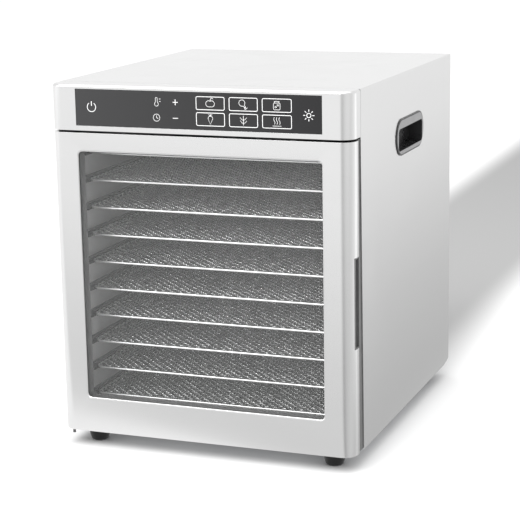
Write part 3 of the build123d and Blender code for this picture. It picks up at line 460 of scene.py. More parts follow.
FINISHES = {
    "casing": casing_steel, "front": front_steel, "plated": plated_steel, "wire": wire_steel, "rim": bright_wire,
    "control_glass": tinted_glass, "symbols": printed_white, "clear_glass": clear_glass,
    "lamp_glass": frosted_glass, "board": circuit_board, "winding": winding, "laminations": laminations,
    "heater": heater_metal,
    "liner": lambda: sheet_steel("chamber_liner_sheet", 0.84, 0.74, (1, 0.05, 1), 0.3, 0.5, 0.12, 0.6),
    # Runners: sheet painted far darker than the liner, as painted shade along the trays' edges
    "runner": lambda: sheet_steel("shade_dark_runner_sheet", 0.15, 0.08, (1, 0.05, 1), 0.45, 0.7, 0.12),
    "frame": lambda: painted("grey_frame_paint", 0.09, 0.2, 0.4, 0.6),
    "bezel": lambda: painted("satin_grey_bezel", (0.25, 0.25, 0.255), 0.36, 0.3, 0.45, 0.2, 1500.0, Metallic=0.6),
    "black": lambda: painted("sparked_black_plastic", (0.02, 0.02, 0.021), 0.12, 0.22, 0.45, 1.0, 900.0,
                             Specular_IOR_Level=0.35),
    "grey": lambda: painted("dark_grey_plastic", 0.10, 0.2, 0.4, 0.6, 0.3),
    "rubber": lambda: painted("black_foot_rubber", 0.008, 0.03, 0.5, 0.8, 0.3, Specular_IOR_Level=0.2),
    "silicone": lambda: painted("grey_silicone", (0.16, 0.16, 0.165), 0.26, 0.45, 0.6),
    "aluminium": lambda: cast_metal("bare_aluminium", (0.80, 0.80, 0.81), (0.66, 0.66, 0.67), 0.3, 0.5),
    "bronze": lambda: cast_metal("sintered_bronze", (0.62, 0.44, 0.22), (0.42, 0.28, 0.13), 0.4, 0.6),
    "screw": lambda: cast_metal("bright_plated_screw", (0.70, 0.70, 0.71), (0.55, 0.55, 0.56), 0.2, 0.35),
    "brass": lambda: cast_metal("brass_contact", (0.80, 0.62, 0.30), (0.62, 0.45, 0.20), 0.2, 0.35),
    "ferrite": lambda: cast_metal("ferrite_magnet", (0.10, 0.10, 0.11), (0.06, 0.06, 0.07), 0.5, 0.7),
}
MADE = {}


def finish_of(name):
    """The material of a finish, made when it is first asked for."""
    if name not in MADE:
        MADE[name] = FINISHES[name]()
    return MADE[name]


# ------------------------------------------------------------------------ steps
def plain_nodes(finish, *nodes):
    """CAD nodes whose shape is final: they only take a finish."""
    for node in nodes:
        dress(NODES[node], finish_of(finish))


def eased(finish, edge, node):
    """A CAD node whose edges are eased, by so many millimetres, before it takes its finish."""
    dress(refined(node, edge * MM), finish_of(finish))


class DEHYDRATOR_OT_casing(bpy.types.Operator):
    """Folded outer casing, base, fixed front frame and back"""
    bl_idname = "dehydrator.casing"
    bl_label = "Casing and frame"

    def execute(self, context):
        eased("casing", 0.25, "outer_casing")
        eased("frame", 0.2, "front_frame")
        plain_nodes("plated", "base_pan", "back_panel")
        eased("plated", 0, "rear_cover")
        return {"FINISHED"}


class DEHYDRATOR_OT_fascia(bpy.types.Operator):
    """Fascia over the door"""
    bl_idname = "dehydrator.fascia"
    bl_label = "Fascia"

    def execute(self, context):
        eased("front", 0.4, "fascia")
        return {"FINISHED"}


class DEHYDRATOR_OT_door(bpy.types.Operator):
    """Framed door with its pane, seal, finger grip, magnets and hinges"""
    bl_idname = "dehydrator.door"
    bl_label = "Door"

    def execute(self, context):
        eased("front", 0.4, "door_shell")
        eased("grey", 0, "door_inner_frame")
        eased("grey", 0.4, "door_grip")
        eased("clear_glass", 0.3, "door_glass")
        eased("silicone", 0, "door_seal")
        eased("frame", 0.3, "lower_hinge")
        eased("frame", 0.2, "upper_hinge")
        plain_nodes("silicone", "glass_gasket")
        plain_nodes("ferrite", "door_magnets")
        plain_nodes("screw", "catch_plates", "door_screws")
        plain_nodes("black", "hinge_bushes")
        return {"FINISHED"}


class DEHYDRATOR_OT_chamber(bpy.types.Operator):
    """Drying chamber: liners with their runners, roof, floor, rear wall, baffle and lamp"""
    bl_idname = "dehydrator.chamber"
    bl_label = "Drying chamber"

    def execute(self, context):
        look = context.scene.dehydrator_chamber
        plain_nodes("liner", "chamber_roof", "chamber_floor", "chamber_rear_wall", "air_baffle")
        tree = runner_tree()
        trays = [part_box(name) for name in sorted(NODES) if name.startswith("tray_")]
        middles = [(low.z + high.z) / 2 for low, high in trays]
        rim = (trays[0][1].z - trays[0][0].z) / 2
        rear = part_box("air_baffle")[0].y
        for side, name in ((-1, "left"), (1, "right")):
            low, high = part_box(name + "_liner")
            sheet = look.sheet
            wall = low.x + sheet if side < 0 else high.x - sheet
            under = -rim - look.clearance
            over = rim + look.lip_height
            outline = ((0, under - sheet), (look.ledge, under - sheet), (look.ledge, under), (sheet, under),
                       (sheet, over), (look.lip, over), (look.lip, over + sheet), (0, over + sheet))
            start = low.y + look.setback
            section = bpy.data.meshes.new(name + "_runner_section")
            section.from_pydata([(wall - side * x, start, middles[0] + z) for x, z in outline], [],
                                [tuple(range(len(outline)))[::-side]])
            piece = grown(name + "_wall_with_runners", tree, {
                "Length": rear - look.setback / 2 - start, "Count": len(trays), "Rise": middles[1] - middles[0],
                "Sheet": sheet, "Wall depth": high.y - low.y, "Wall height": high.z - low.z,
                "Wall place": (wall + side * sheet / 2, (low.y + high.y) / 2, (low.z + high.z) / 2),
                "Finish": finish_of("liner"), "Runner finish": finish_of("runner")}, section)
            settle(piece, "cabinet", "liner_steel", None, name + "_liner")
        eased("lamp_glass", 0, "lamp_lens")
        plain_nodes("grey", "lamp_holder")
        return {"FINISHED"}


class DEHYDRATOR_OT_handles(bpy.types.Operator):
    """Recessed side handles: cups and bezels"""
    bl_idname = "dehydrator.handles"
    bl_label = "Side handles"

    def execute(self, context):
        for cup in ("left_handle_cup", "right_handle_cup"):
            eased("black", 0.4, cup)
        eased("bezel", 0.15, "handle_bezels")
        return {"FINISHED"}


class DEHYDRATOR_OT_feet(bpy.types.Operator):
    """Rubber feet and their screws"""
    bl_idname = "dehydrator.feet"
    bl_label = "Feet"

    def execute(self, context):
        eased("rubber", 0, "feet")
        plain_nodes("screw", "foot_screws")
        return {"FINISHED"}


class DEHYDRATOR_OT_machinery(bpy.types.Operator):
    """Fan, motor, heater, sensors, boards, mains inlet and the screws on the back"""
    bl_idname = "dehydrator.machinery"
    bl_label = "Fan, motor and electrics"

    def execute(self, context):
        eased("aluminium", 0, "fan_blade")
        plain_nodes("screw", "fan_nut", "motor_screws", "temperature_sensor")
        plain_nodes("laminations", "motor_rotor", "motor_stator")
        plain_nodes("winding", "motor_coil")
        plain_nodes("plated", "motor_brackets")
        plain_nodes("bronze", "motor_bearings")
        eased("heater", 0, "heater_element")
        plain_nodes("black", "thermal_cutout", "display_module")
        eased("black", 0.3, "inlet_socket")
        plain_nodes("brass", "inlet_pins")
        plain_nodes("board", "touch_board", "power_board")
        return {"FINISHED"}


# --------------------------------------------------------- Geometry Nodes trees
def geometry_tree(name, inputs):
    """An empty Geometry Nodes tree with named inputs; a default's type gives its socket, and None a material."""
    tree = bpy.data.node_groups.new(name, "GeometryNodeTree")
    tree.interface.new_socket(name="Geometry", in_out="INPUT", socket_type="NodeSocketGeometry")
    kinds = {float: "Float", int: "Int", tuple: "Vector"}
    for label, default in inputs.items():
        kind = "NodeSocket" + kinds.get(type(default), "Material")
        socket = tree.interface.new_socket(name=label, in_out="INPUT", socket_type=kind)
        if default is not None:
            socket.default_value = default
    tree.interface.new_socket(name="Geometry", in_out="OUTPUT", socket_type="NodeSocketGeometry")
    return tree, tree.nodes.new("NodeGroupInput").outputs, tree.nodes.new("NodeGroupOutput").inputs


def placed(tree, x=0.0, y=0.0, z=0.0):
    return shader_node(tree, "ShaderNodeCombineXYZ", {0: x, 1: y, 2: z}).outputs[0]


def shaped(tree, kind, inputs, **settings):
    """One Geometry Nodes node; returns its first result."""
    return shader_node(tree, "GeometryNode" + kind, inputs, **settings).outputs[0]


def joined(tree, *parts):
    """Join Geometry, Realize Instances; returns the result."""
    join = tree.nodes.new("GeometryNodeJoinGeometry")
    for part in parts:
        tree.links.new(part, join.inputs[0])
    return shaped(tree, "RealizeInstances", {0: join.outputs[0]})


def moved(tree, geometry, offset, **inputs):
    return shaped(tree, "Transform", {"Geometry": geometry, "Translation": offset, **inputs})


def rod(tree, curve, thickness, sides, **inputs):
    """A round section pulled along a curve."""
    section = shaped(tree, "CurvePrimitiveCircle", {"Resolution": sides, "Radius": times(tree, thickness, 0.5)})
    return shaped(tree, "CurveToMesh", {"Curve": curve, "Profile Curve": section, **inputs})


def finished(tree, geometry, finish, smooth=True):
    """Smooth shading and Set Material on a geometry; returns the result."""
    even = shaped(tree, "SetShadeSmooth", {"Geometry": geometry, "Shade Smooth": smooth})
    return shaped(tree, "SetMaterial", {"Geometry": even, "Material": finish})


def grown(name, tree, values, base=None):
    """Runs a Geometry Nodes tree, with values for its named inputs, and returns its plain result."""
    piece = new_object(name, base or bpy.data.meshes.new(name + "_base"))
    modifier = piece.modifiers.new("build", "NODES")
    modifier.node_group = tree
    for socket in tree.interface.items_tree:
        if socket.in_out == "INPUT" and socket.name in values:
            modifier[socket.identifier] = values[socket.name]
    return made_plain(piece, name)


def crimped_wires(tree, length, spread, pitch, crimp, wire):
    """Parallel wires along X, side by side along Y, each bent over and under what crosses it."""
    flat = 0.24                                     # share of the pitch that lies flat on a crossing
    crossings = maths(tree, "ROUND", maths(tree, "DIVIDE", length, pitch))
    step = maths(tree, "DIVIDE", length, crossings)
    line = shaped(tree, "CurvePrimitiveLine", {1: placed(tree, length)})
    points = shaped(tree, "ResampleCurve", {"Curve": line,
                                            "Count": times(tree, maths(tree, "ADD", crossings, 1.0), 2.0)})
    index = tree.nodes.new("GeometryNodeInputIndex").outputs[0]
    odd = maths(tree, "MODULO", index, 2.0)
    crossing = maths(tree, "FLOOR", maths(tree, "DIVIDE", index, 2.0))
    reach = maths(tree, "ADD", crossing, times(tree, maths(tree, "SUBTRACT", odd, 0.5), 2 * flat))
    along = shader_node(tree, "ShaderNodeClamp", {0: times(tree, reach, step), 1: 0.0, 2: length}).outputs[0]
    side = maths(tree, "SUBTRACT", times(tree, maths(tree, "MODULO", crossing, 2.0), 2.0), 1.0)
    bent = shaped(tree, "SetPosition", {"Geometry": points,
                                        "Position": placed(tree, along, 0.0, times(tree, side, crimp))})
    wires = maths(tree, "ROUND", maths(tree, "DIVIDE", spread, pitch))
    gap = placed(tree, 0.0, maths(tree, "DIVIDE", spread, wires))
    starts = shaped(tree, "MeshLine", {"Count": maths(tree, "SUBTRACT", wires, 1.0), "Start Location": gap,
                                       "Offset": gap})
    spun = shader_node(tree, "FunctionNodeEulerToRotation", {0: placed(tree, times(tree, odd, pi))})
    return shaped(tree, "InstanceOnPoints", {"Points": starts, "Instance": rod(tree, bent, wire, 4),
                                             "Rotation": spun.outputs[0]})


def tray_tree():
    """A drying tray: woven crimped mesh on a bent rim wire, centred on the origin."""
    tree, given, out = geometry_tree("woven_tray", {
        "Width": 0.29, "Depth": 0.31, "Pitch": 0.005, "Wire": 0.0012, "Crimp": 0.0011, "Rim wire": 0.0024,
        "Corner": 0.012, "Mesh finish": None, "Rim finish": None})
    width, depth = given["Width"], given["Depth"]
    common = (given["Pitch"], given["Crimp"], given["Wire"])
    weft = crimped_wires(tree, width, depth, *common)
    warp = crimped_wires(tree, depth, width, *common)
    back, left = times(tree, depth, -0.5), times(tree, width, -0.5)
    weft_laid = moved(tree, weft, placed(tree, left, back))
    warp_laid = moved(tree, warp, placed(tree, times(tree, left, -1.0), back), Rotation=(0, 0, pi / 2))
    mesh = finished(tree, joined(tree, weft_laid, warp_laid), given["Mesh finish"])
    outline = shaped(tree, "CurvePrimitiveQuadrilateral", {"Width": width, "Height": depth})
    rounded = shaped(tree, "FilletCurve", {"Curve": outline, "Radius": given["Corner"], "Count": 5}, mode="POLY")
    rim = rod(tree, rounded, given["Rim wire"], 10)
    tree.links.new(joined(tree, mesh, finished(tree, rim, given["Rim finish"])), out[0])
    return tree


def runner_tree():
    """A chamber side wall with its folded runners; the base mesh is one runner's section."""
    tree, given, out = geometry_tree("wall_with_runners", {
        "Length": 0.3, "Count": 10, "Rise": 0.03, "Sheet": 0.0008, "Wall depth": 0.35, "Wall height": 0.3,
        "Wall place": (0, 0, 0), "Finish": None, "Runner finish": None})
    pulled = shaped(tree, "ExtrudeMesh", {"Mesh": given["Geometry"], "Offset": placed(tree, 0.0, given["Length"]),
                                          "Individual": False})
    closing = shaped(tree, "FlipFaces", {"Mesh": given["Geometry"]})
    runner = shaped(tree, "MergeByDistance", {"Geometry": joined(tree, pulled, closing), "Distance": WELD})
    rows = shaped(tree, "MeshLine", {"Count": given["Count"], "Offset": placed(tree, 0.0, 0.0, given["Rise"])})
    each = shaped(tree, "InstanceOnPoints", {"Points": rows, "Instance": runner})
    plate = shaped(tree, "MeshCube", {0: placed(tree, given["Sheet"], given["Wall depth"], given["Wall height"])})
    wall = moved(tree, plate, given["Wall place"])
    both = joined(tree, finished(tree, each, given["Runner finish"], smooth=False),
                  finished(tree, wall, given["Finish"], smooth=False))
    tree.links.new(both, out[0])
    return tree


def print_tree():
    """Printed lines: each edge of the base mesh, drawn at y = 0, becomes a flat stroke at the front."""
    tree, given, out = geometry_tree("printed_lines", {"Stroke": 0.0008, "Thickness": 0.00012, "Front": 0.0,
                                                       "Finish": None})
    lines = shaped(tree, "MeshToCurve", {0: given["Geometry"]})
    strokes = rod(tree, lines, given["Stroke"], 6, **{"Fill Caps": True})
    flatness = maths(tree, "DIVIDE", given["Thickness"], given["Stroke"])
    pressed = moved(tree, strokes, placed(tree, 0.0, given["Front"]), Scale=placed(tree, 1.0, flatness, 1.0))
    tree.links.new(finished(tree, joined(tree, pressed), given["Finish"], smooth=False), out[0])
    return tree


def screw_tree():
    """Pan-head screws with a cross recess, one at each point of the base mesh; a head faces +Z untilted."""
    tree, given, out = geometry_tree("pan_head_screws", {
        "Head radius": 0.0036, "Head height": 0.0022, "Shank radius": 0.0017, "Shank length": 0.007,
        "Facing": (0, 0, 0), "Finish": None})
    radius, height, length = given["Head radius"], given["Head height"], given["Shank length"]
    narrow = times(tree, radius, 0.22)
    head = shaped(tree, "MeshCone", {"Vertices": 20, "Radius Top": times(tree, radius, 0.66),
                                     "Radius Bottom": radius, "Depth": height})
    cut = tree.nodes.new("GeometryNodeMeshBoolean")
    cut.operation = "DIFFERENCE"
    tree.links.new(head, cut.inputs[0])
    for sizes in ((radius, narrow, height), (narrow, radius, height)):
        bar = shaped(tree, "MeshCube", {0: placed(tree, *sizes)})
        tree.links.new(moved(tree, bar, placed(tree, 0.0, 0.0, times(tree, height, 1.05))), cut.inputs[1])
    shank = shaped(tree, "MeshCylinder", {"Vertices": 12, "Radius": given["Shank radius"], "Depth": length})
    both = joined(tree, cut.outputs[0], moved(tree, shank, placed(tree, 0.0, 0.0, times(tree, length, -0.5))))
    facing = shader_node(tree, "FunctionNodeEulerToRotation", {0: given["Facing"]})
    each = shaped(tree, "InstanceOnPoints", {"Points": given["Geometry"], "Instance": both,
                                             "Rotation": facing.outputs[0]})
    tree.links.new(finished(tree, joined(tree, each), given["Finish"], smooth=False), out[0])
    return tree


def island_boxes(node):
    """The lowest and highest corner of each separate solid in a CAD node."""
    shape = bmesh.new()
    shape.from_mesh(NODES[node].data)
    bmesh.ops.remove_doubles(shape, verts=shape.verts, dist=WELD)
    left = set(shape.verts)
    boxes = []
    while left:
        reached, island = [left.pop()], []
        while reached:
            vertex = reached.pop()
            island.append(vertex.co.copy())
            near = {edge.other_vert(vertex) for edge in vertex.link_edges} & left
            left -= near
            reached.extend(near)
        boxes.append([Vector(end(co[axis] for co in island) for axis in range(3)) for end in (min, max)])
    shape.free()
    return sorted(boxes, key=lambda box: tuple(round(c, 5) for c in box[0]))


# ----------------------------------------------------------------- line drawing
def arc(x, z, radius, start=0.0, end=360.0, steps=12):
    """Points on an arc, degrees anticlockwise from +X."""
    turn = [radians(start + (end - start) * i / steps) for i in range(steps + 1)]
    return [(x + radius * cos(a), z + radius * sin(a)) for a in turn]


def rounded_box(x0, x1, z0, z1, radius):
    """Closed outline of a box with rounded corners."""
    centres = ((x1 - radius, z1 - radius, 0), (x0 + radius, z1 - radius, 90), (x0 + radius, z0 + radius, 180),
               (x1 - radius, z0 + radius, 270))
    points = [point for x, z, start in centres for point in arc(x, z, radius, start, start + 90, 4)]
    return points + points[:1]


def power_mark():
    return [arc(0, 0, 5.0, 125, 415, 22), [(0, 1.2), (0, 6.2)]]


def lamp_mark():
    rays = [[(3.9 * cos(a), 3.9 * sin(a)), (6.1 * cos(a), 6.1 * sin(a))] for a in (i * pi / 4 for i in range(8))]
    return [arc(0, 0, 2.3, steps=16)] + rays


def thermometer_mark():
    bulb = arc(0, -2.1, 1.9, 120, 420, 14)
    return [bulb + [(0.95, 3.0)] + arc(0, 3.0, 0.95, 0, 180, 6) + bulb[:1], [(2.6, 2.6), (4.2, 2.6)],
            [(2.6, 0.4), (4.2, 0.4)]]


def clock_mark():
    return [arc(0, 0, 3.3, steps=18), [(0, 2.1), (0, 0), (1.6, -0.9)]]


def plus_mark():
    return [[(-3.0, 0), (3.0, 0)], [(0, -3.0), (0, 3.0)]]


def minus_mark():
    return [[(-3.0, 0), (3.0, 0)]]


def fruit_mark():
    """An apple with its stalk and leaf."""
    left = arc(-1.2, -0.3, 2.3, 60, 270, 10)
    right = arc(1.2, -0.3, 2.3, 270, 480, 10)
    return [left + right, [(0, 1.4), (0.3, 3.2)], arc(1.4, 2.9, 1.1, 200, 20, 5)]


def meat_mark():
    """A drumstick."""
    return [[(0.9, -0.9)] + arc(-1.0, 1.0, 2.4, -20, 290, 14) + [(0.3, -1.6)], [(0.3, -1.6), (1.5, -2.6)],
            [(0.9, -0.9), (2.1, -1.9)], arc(2.4, -2.2, 0.8, 140, 360, 6), arc(1.7, -2.9, 0.8, 90, 330, 6)]


def jar_mark():
    """A lidded jar with bubbles."""
    return [rounded_box(-2.6, 2.6, -3.2, 1.8, 0.9), [(-2.1, 2.9), (2.1, 2.9)], [(-1.7, 1.8), (-1.7, 2.9)],
            [(1.7, 1.8), (1.7, 2.9)], arc(-0.8, -1.2, 0.6, steps=8), arc(0.9, 0.1, 0.6, steps=8)]


def carrot_mark():
    return [arc(0, 0.6, 1.9, 0, 180, 8) + [(0, -3.6), (1.9, 0.6)], [(0, 2.5), (0, 4.2)],
            [(0, 2.5), (-1.4, 3.8)], [(0, 2.5), (1.4, 3.8)]]


def herb_mark():
    """A sprig with two pairs of leaves."""
    leaves = [[(0, z), (side * 1.2, z + 0.2), (side * 2.6, z + 1.9)] for z in (-2.0, 0.4) for side in (-1, 1)]
    return [[(0, -3.5), (0, 3.6)]] + leaves


def warmth_mark():
    """Three wisps of rising heat."""
    wisp = [(0.5 * sin(i * pi / 4), -2.0 + 0.65 * i) for i in range(9)]
    return [[(x + shift, z) for x, z in wisp] for shift in (-2.0, 0.0, 2.0)] + [[(-3.4, -3.2), (3.4, -3.2)]]


# ---------------------------------------------------------------- new pieces
class DEHYDRATOR_OT_screws(bpy.types.Operator):
    """Cross-head screws that hold the back and the motor's cover"""
    bl_idname = "dehydrator.screws"
    bl_label = "Rear screws"

    def execute(self, context):
        look = context.scene.dehydrator_screws
        seats = bpy.data.meshes.new("rear_screw_seats")
        boxes = island_boxes("rear_screws")
        head = look.head_height
        seats.from_pydata([((low.x + high.x) / 2, high.y - head / 2, (low.z + high.z) / 2)
                           for low, high in boxes], [], [])
        radius = (boxes[0][1].x - boxes[0][0].x) / 2
        piece = grown("rear_cross_screws", screw_tree(),
                      {"Head radius": radius, "Head height": head, "Shank radius": look.shank / 2,
                       "Shank length": boxes[0][1].y - boxes[0][0].y - head / 2,
                       "Facing": (-pi / 2, 0.0, 0.0), "Finish": finish_of("screw")}, seats)
        settle(piece, "cabinet", "screw_steel", None, "rear_screws")
        return {"FINISHED"}


class DEHYDRATOR_OT_trays(bpy.types.Operator):
    """Ten drying trays of woven crimped wire on a bent rim"""
    bl_idname = "dehydrator.trays"
    bl_label = "Drying trays"

    def execute(self, context):
        look = context.scene.dehydrator_trays
        low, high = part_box("tray_01")
        rim = look.rim_wire
        pattern = grown("woven_tray", tray_tree(), {
            "Width": high.x - low.x - rim, "Depth": high.y - low.y - rim, "Pitch": look.pitch,
            "Wire": look.mesh_wire, "Crimp": look.crimp, "Rim wire": rim, "Corner": look.corner - rim / 2,
            "Mesh finish": finish_of("wire"), "Rim finish": finish_of("rim")})
        names = sorted(name for name in NODES if name.startswith("tray_"))
        for name in names:
            low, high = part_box(name)
            mesh = pattern.data.copy()
            mesh.name = "woven_" + name
            mesh.transform(Matrix.Translation((low + high) / 2))
            settle(new_object(mesh.name, mesh), name, "tray_wire", None, name)
        bpy.data.objects.remove(pattern)
        return {"FINISHED"}


class DEHYDRATOR_OT_control_panel(bpy.types.Operator):
    """Dark control glass with its printed keys and symbols"""
    bl_idname = "dehydrator.control_panel"
    bl_label = "Control panel"

    def execute(self, context):
        look = context.scene.dehydrator_panel
        dress(refined("control_glass", look.glass_bevel), finish_of("control_glass"))
        low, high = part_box("control_glass")
        middle = (low.z + high.z) / 2
        row = look.row_gap / 2
        bold = [(power_mark(), -0.121, 0.0006, 1.0), (lamp_mark(), 0.1259, -0.0008, 1.0),
                (plus_mark(), -0.0228, row, 1.0), (minus_mark(), -0.023, -row, 1.0)]
        fine = [(thermometer_mark(), -0.0445, row, 1.15), (clock_mark(), -0.0448, -row, 1.15)]
        columns = [(0.001, 0.0328), (0.0383, 0.0697), (0.0751, 0.107)]
        symbols = ((fruit_mark, meat_mark, jar_mark), (carrot_mark, herb_mark, warmth_mark))
        for up, drawn in zip((row, -row), symbols):
            for (x0, x1), symbol in zip(columns, drawn):
                half = (x1 - x0) / 2 / MM
                bold.append(([rounded_box(-half, half, -6.8, 6.8, 1.6)], (x0 + x1) / 2, up, 1.0))
                fine.append((symbol(), (x0 + x1) / 2, up, 1.4))
        tree = print_tree()
        for name, marks, stroke in (("panel_outlines", bold, look.stroke), ("panel_symbols", fine, look.fine_stroke)):
            points, edges = [], []
            for lines, x, z, scale in marks:
                for line in lines:
                    first = len(points)
                    points += [(x + px * scale * MM, 0.0, middle + z + pz * scale * MM) for px, pz in line]
                    edges += [(first + i, first + i + 1) for i in range(len(line) - 1)]
            base = bpy.data.meshes.new(name + "_lines")
            base.from_pydata(points, edges, [])
            piece = grown(name, tree, {"Stroke": stroke, "Thickness": look.ink, "Front": low.y,
                                       "Finish": finish_of("symbols")}, base)
            settle(piece, "cabinet", "bezel_grey", None)
        return {"FINISHED"}


# ----------------------------------------------------------------------- stage
def softbox(name, place, aim, size, power):
    """A square area light that looks at a point."""
    light = bpy.data.lights.new(name, "AREA")
    light.shape = "RECTANGLE"
    light.size, light.size_y = size
    light.energy = power
    lamp = bpy.data.objects.new(name, light)
    bpy.context.scene.collection.objects.link(lamp)
    lamp.location = place
    lamp.rotation_euler = (Vector(place) - Vector(aim)).to_track_quat("Z", "Y").to_euler()


def studio_floor():
    """White paper under the object, darkened by a painted shadow under and near the object; the steel mirrors it as a
    bright sweep with a dark flag, front right.
    """
    look = bpy.context.scene.dehydrator_studio
    material, tree, shader, where = surface("pale_floor", Roughness=0.9, Specular_IOR_Level=0.0)
    low, high = cad_box
    x, y = split(tree, where)[:2]
    before = maths(tree, "SUBTRACT", low[1], y)
    beside = maths(tree, "SUBTRACT", x, high[0])
    outside = maths(tree, "MAXIMUM", before, maths(tree, "SUBTRACT", maths(tree, "ABSOLUTE", x), high[0]))
    # Painted shadow: the floor's colour darkens from the paper's white to a grey near and under the object
    clear = ranged(tree, outside, -0.07, 0.03, interpolation_type="SMOOTHSTEP")
    tinted(tree, shader, clear, look.painted_shadow, look.paper)
    turn = maths(tree, "ARCTAN2", beside, before)
    share = ranged(tree, turn, radians(60), radians(130), interpolation_type="SMOOTHSTEP")
    sweep = shader_node(tree, "ShaderNodeMix", {"Factor": share, "A": ranged(tree, before, 0.3, 1.4, 0.88, 1.17),
                                                "B": ranged(tree, beside, 0.05, 0.65, 0.67, 1.12)})
    ramp = tree.nodes.new("ShaderNodeFloatCurve")
    tree.links.new(ranged(tree, turn, -pi, pi), ramp.inputs["Value"])
    curve = ramp.mapping.curves[0]
    for degrees, level in ((-100, 0.7), (-78, 0.7), (-68, 0.54), (-50, 0.5), (-8, 0.5), (2, 0.42), (12, 0.30),
                           (30, 0.38), (60, 0.45), (120, 0.52), (145, 0.65), (157, 0.5), (164, 0.45), (172, 0.45)):
        curve.points.new((degrees + 180) / 360, level)
    curve.points[0].location = (0.0, 0.5)
    curve.points[-1].location = (1.0, 0.5)
    ramp.mapping.update()
    level = times(tree, times(tree, sweep.outputs[0], ramp.outputs[0]), 2.0)
    sheen = shader_node(tree, "ShaderNodeEmission", {"Strength": level})
    rays = tree.nodes.new("ShaderNodeLightPath")
    mixed = shader_node(tree, "ShaderNodeMixShader", {0: rays.outputs["Is Glossy Ray"], 1: shader.outputs[0],
                                                      2: sheen.outputs[0]})
    output = next(node for node in tree.nodes if node.type == "OUTPUT_MATERIAL")
    tree.links.new(mixed.outputs[0], output.inputs[0])
    return material


class DEHYDRATOR_OT_stage(bpy.types.Operator):
    """Pale floor, soft studio light and the camera"""
    bl_idname = "dehydrator.stage"
    bl_label = "Studio"

    def execute(self, context):
        scene = context.scene
        look = scene.dehydrator_studio
        scene.view_settings.view_transform = "Standard"
        half = look.floor_size / 2
        mesh = bpy.data.meshes.new("studio_floor")
        mesh.from_pydata([(-half, -half, 0), (half, -half, 0), (half, half, 0), (-half, half, 0)], [], [(0, 1, 2, 3)])
        floor = new_object("studio_floor", mesh)
        dress(floor, studio_floor())

        world = bpy.data.worlds.new("studio_surround")
        world.use_nodes = True
        world.node_tree.nodes["Background"].inputs["Color"].default_value = (1, 1, 1, 1)
        world.node_tree.nodes["Background"].inputs["Strength"].default_value = look.surround
        scene.world = world

        middle = Vector((0, 0, 0.2))
        softbox("overhead_softbox", (0.0, -0.3, 2.4), middle, (3.0, 3.0), look.overhead)
        softbox("left_softbox", (-2.2, -1.6, 1.2), middle, (1.6, 2.0), look.left)
        softbox("front_softbox", (-0.8, -2.1, 2.3), middle, (2.4, 1.6), look.front)

        camera = bpy.data.objects.new("camera", bpy.data.cameras.new("camera"))
        scene.collection.objects.link(camera)
        camera.data.lens = look.lens
        camera.data.sensor_width = 36.0
        camera.data.dof.use_dof = False
        target = Vector(look.target)
        back = Vector((sin(look.azimuth) * cos(look.elevation), -cos(look.azimuth) * cos(look.elevation),
                       sin(look.elevation)))
        right = Vector((cos(look.azimuth), sin(look.azimuth), 0))
        upward = back.cross(right)
        tilted = right * cos(look.roll) + upward * sin(look.roll)
        turned = upward * cos(look.roll) - right * sin(look.roll)
        rotation = Matrix((tilted, turned, back)).transposed().to_4x4()
        camera.matrix_world = Matrix.Translation(target + back * look.distance) @ rotation
        scene.camera = camera
        return {"FINISHED"}


# ------------------------------------------------------------------ properties
def length(name, description, default):
    return FloatProperty(name=name, description=description, default=default, min=0.0, unit="LENGTH",
                         precision=4)


def tone(name, description, default):
    return FloatVectorProperty(name=name, description=description, default=default, size=3, min=0.0, max=1.0,
                               subtype="COLOR")


def amount(name, description, default):
    return FloatProperty(name=name, description=description, default=default, min=0.0)


def angle(name, description, degrees):
    return FloatProperty(name=name, description=description, default=radians(degrees), unit="ROTATION")


class DehydratorSteel(bpy.types.PropertyGroup):
    """Finish of the visible sheet metal"""
    tone: tone("Casing", "Colour of the casing's sheet", (0.72, 0.72, 0.72))
    front_tone: tone("Front", "Colour of the door's and the fascia's sheet", (0.72, 0.72, 0.72))
    smoothest: amount("Smoothest", "Roughness where the sheet is smoothest", 0.17)
    roughest: amount("Roughest", "Roughness where the sheet is dullest", 0.25)


class DehydratorChamber(bpy.types.PropertyGroup):
    """Sizes of the runners on the chamber's walls"""
    sheet: length("Sheet", "Thickness of the folded sheet", 0.0008)
    ledge: length("Ledge", "How far a runner's ledge stands out under a tray", 0.0075)
    lip: length("Lip", "How far a runner's lip stands out over a tray", 0.006)
    clearance: length("Clearance", "Ledge to the tray's rim wire", 0.0003)
    lip_height: length("Lip height", "Tray's rim wire to the lip", 0.0018)
    setback: length("Setback", "Wall's front edge to the runners", 0.002)


class DehydratorTrays(bpy.types.PropertyGroup):
    """Sizes of a woven tray"""
    pitch: length("Pitch", "From one mesh wire to the next", 0.005)
    mesh_wire: length("Mesh wire", "Diameter of the woven wire", 0.0012)
    crimp: length("Crimp", "How far a wire bends to either side", 0.0011)
    rim_wire: length("Rim wire", "Diameter of the wire round the edge", 0.0024)
    corner: length("Corner", "Radius of the rim's corners", 0.012)


class DehydratorPanel(bpy.types.PropertyGroup):
    """Sizes of the control glass and what is printed on it"""
    glass_bevel: length("Glass bevel", "Ground edge of the control glass", 0.0004)
    stroke: length("Stroke", "Width of a key's outline", 0.0008)
    fine_stroke: length("Fine stroke", "Width of a line in a small symbol", 0.0005)
    ink: length("Ink", "Thickness of the print", 0.00012)
    row_gap: length("Row gap", "From the lower row of keys to the upper one", 0.0169)


class DehydratorScrews(bpy.types.PropertyGroup):
    """Sizes of the screws on the back"""
    head_height: length("Head height", "Height of a screw's head", 0.0022)
    shank: length("Shank", "Diameter of a screw's shank", 0.0034)


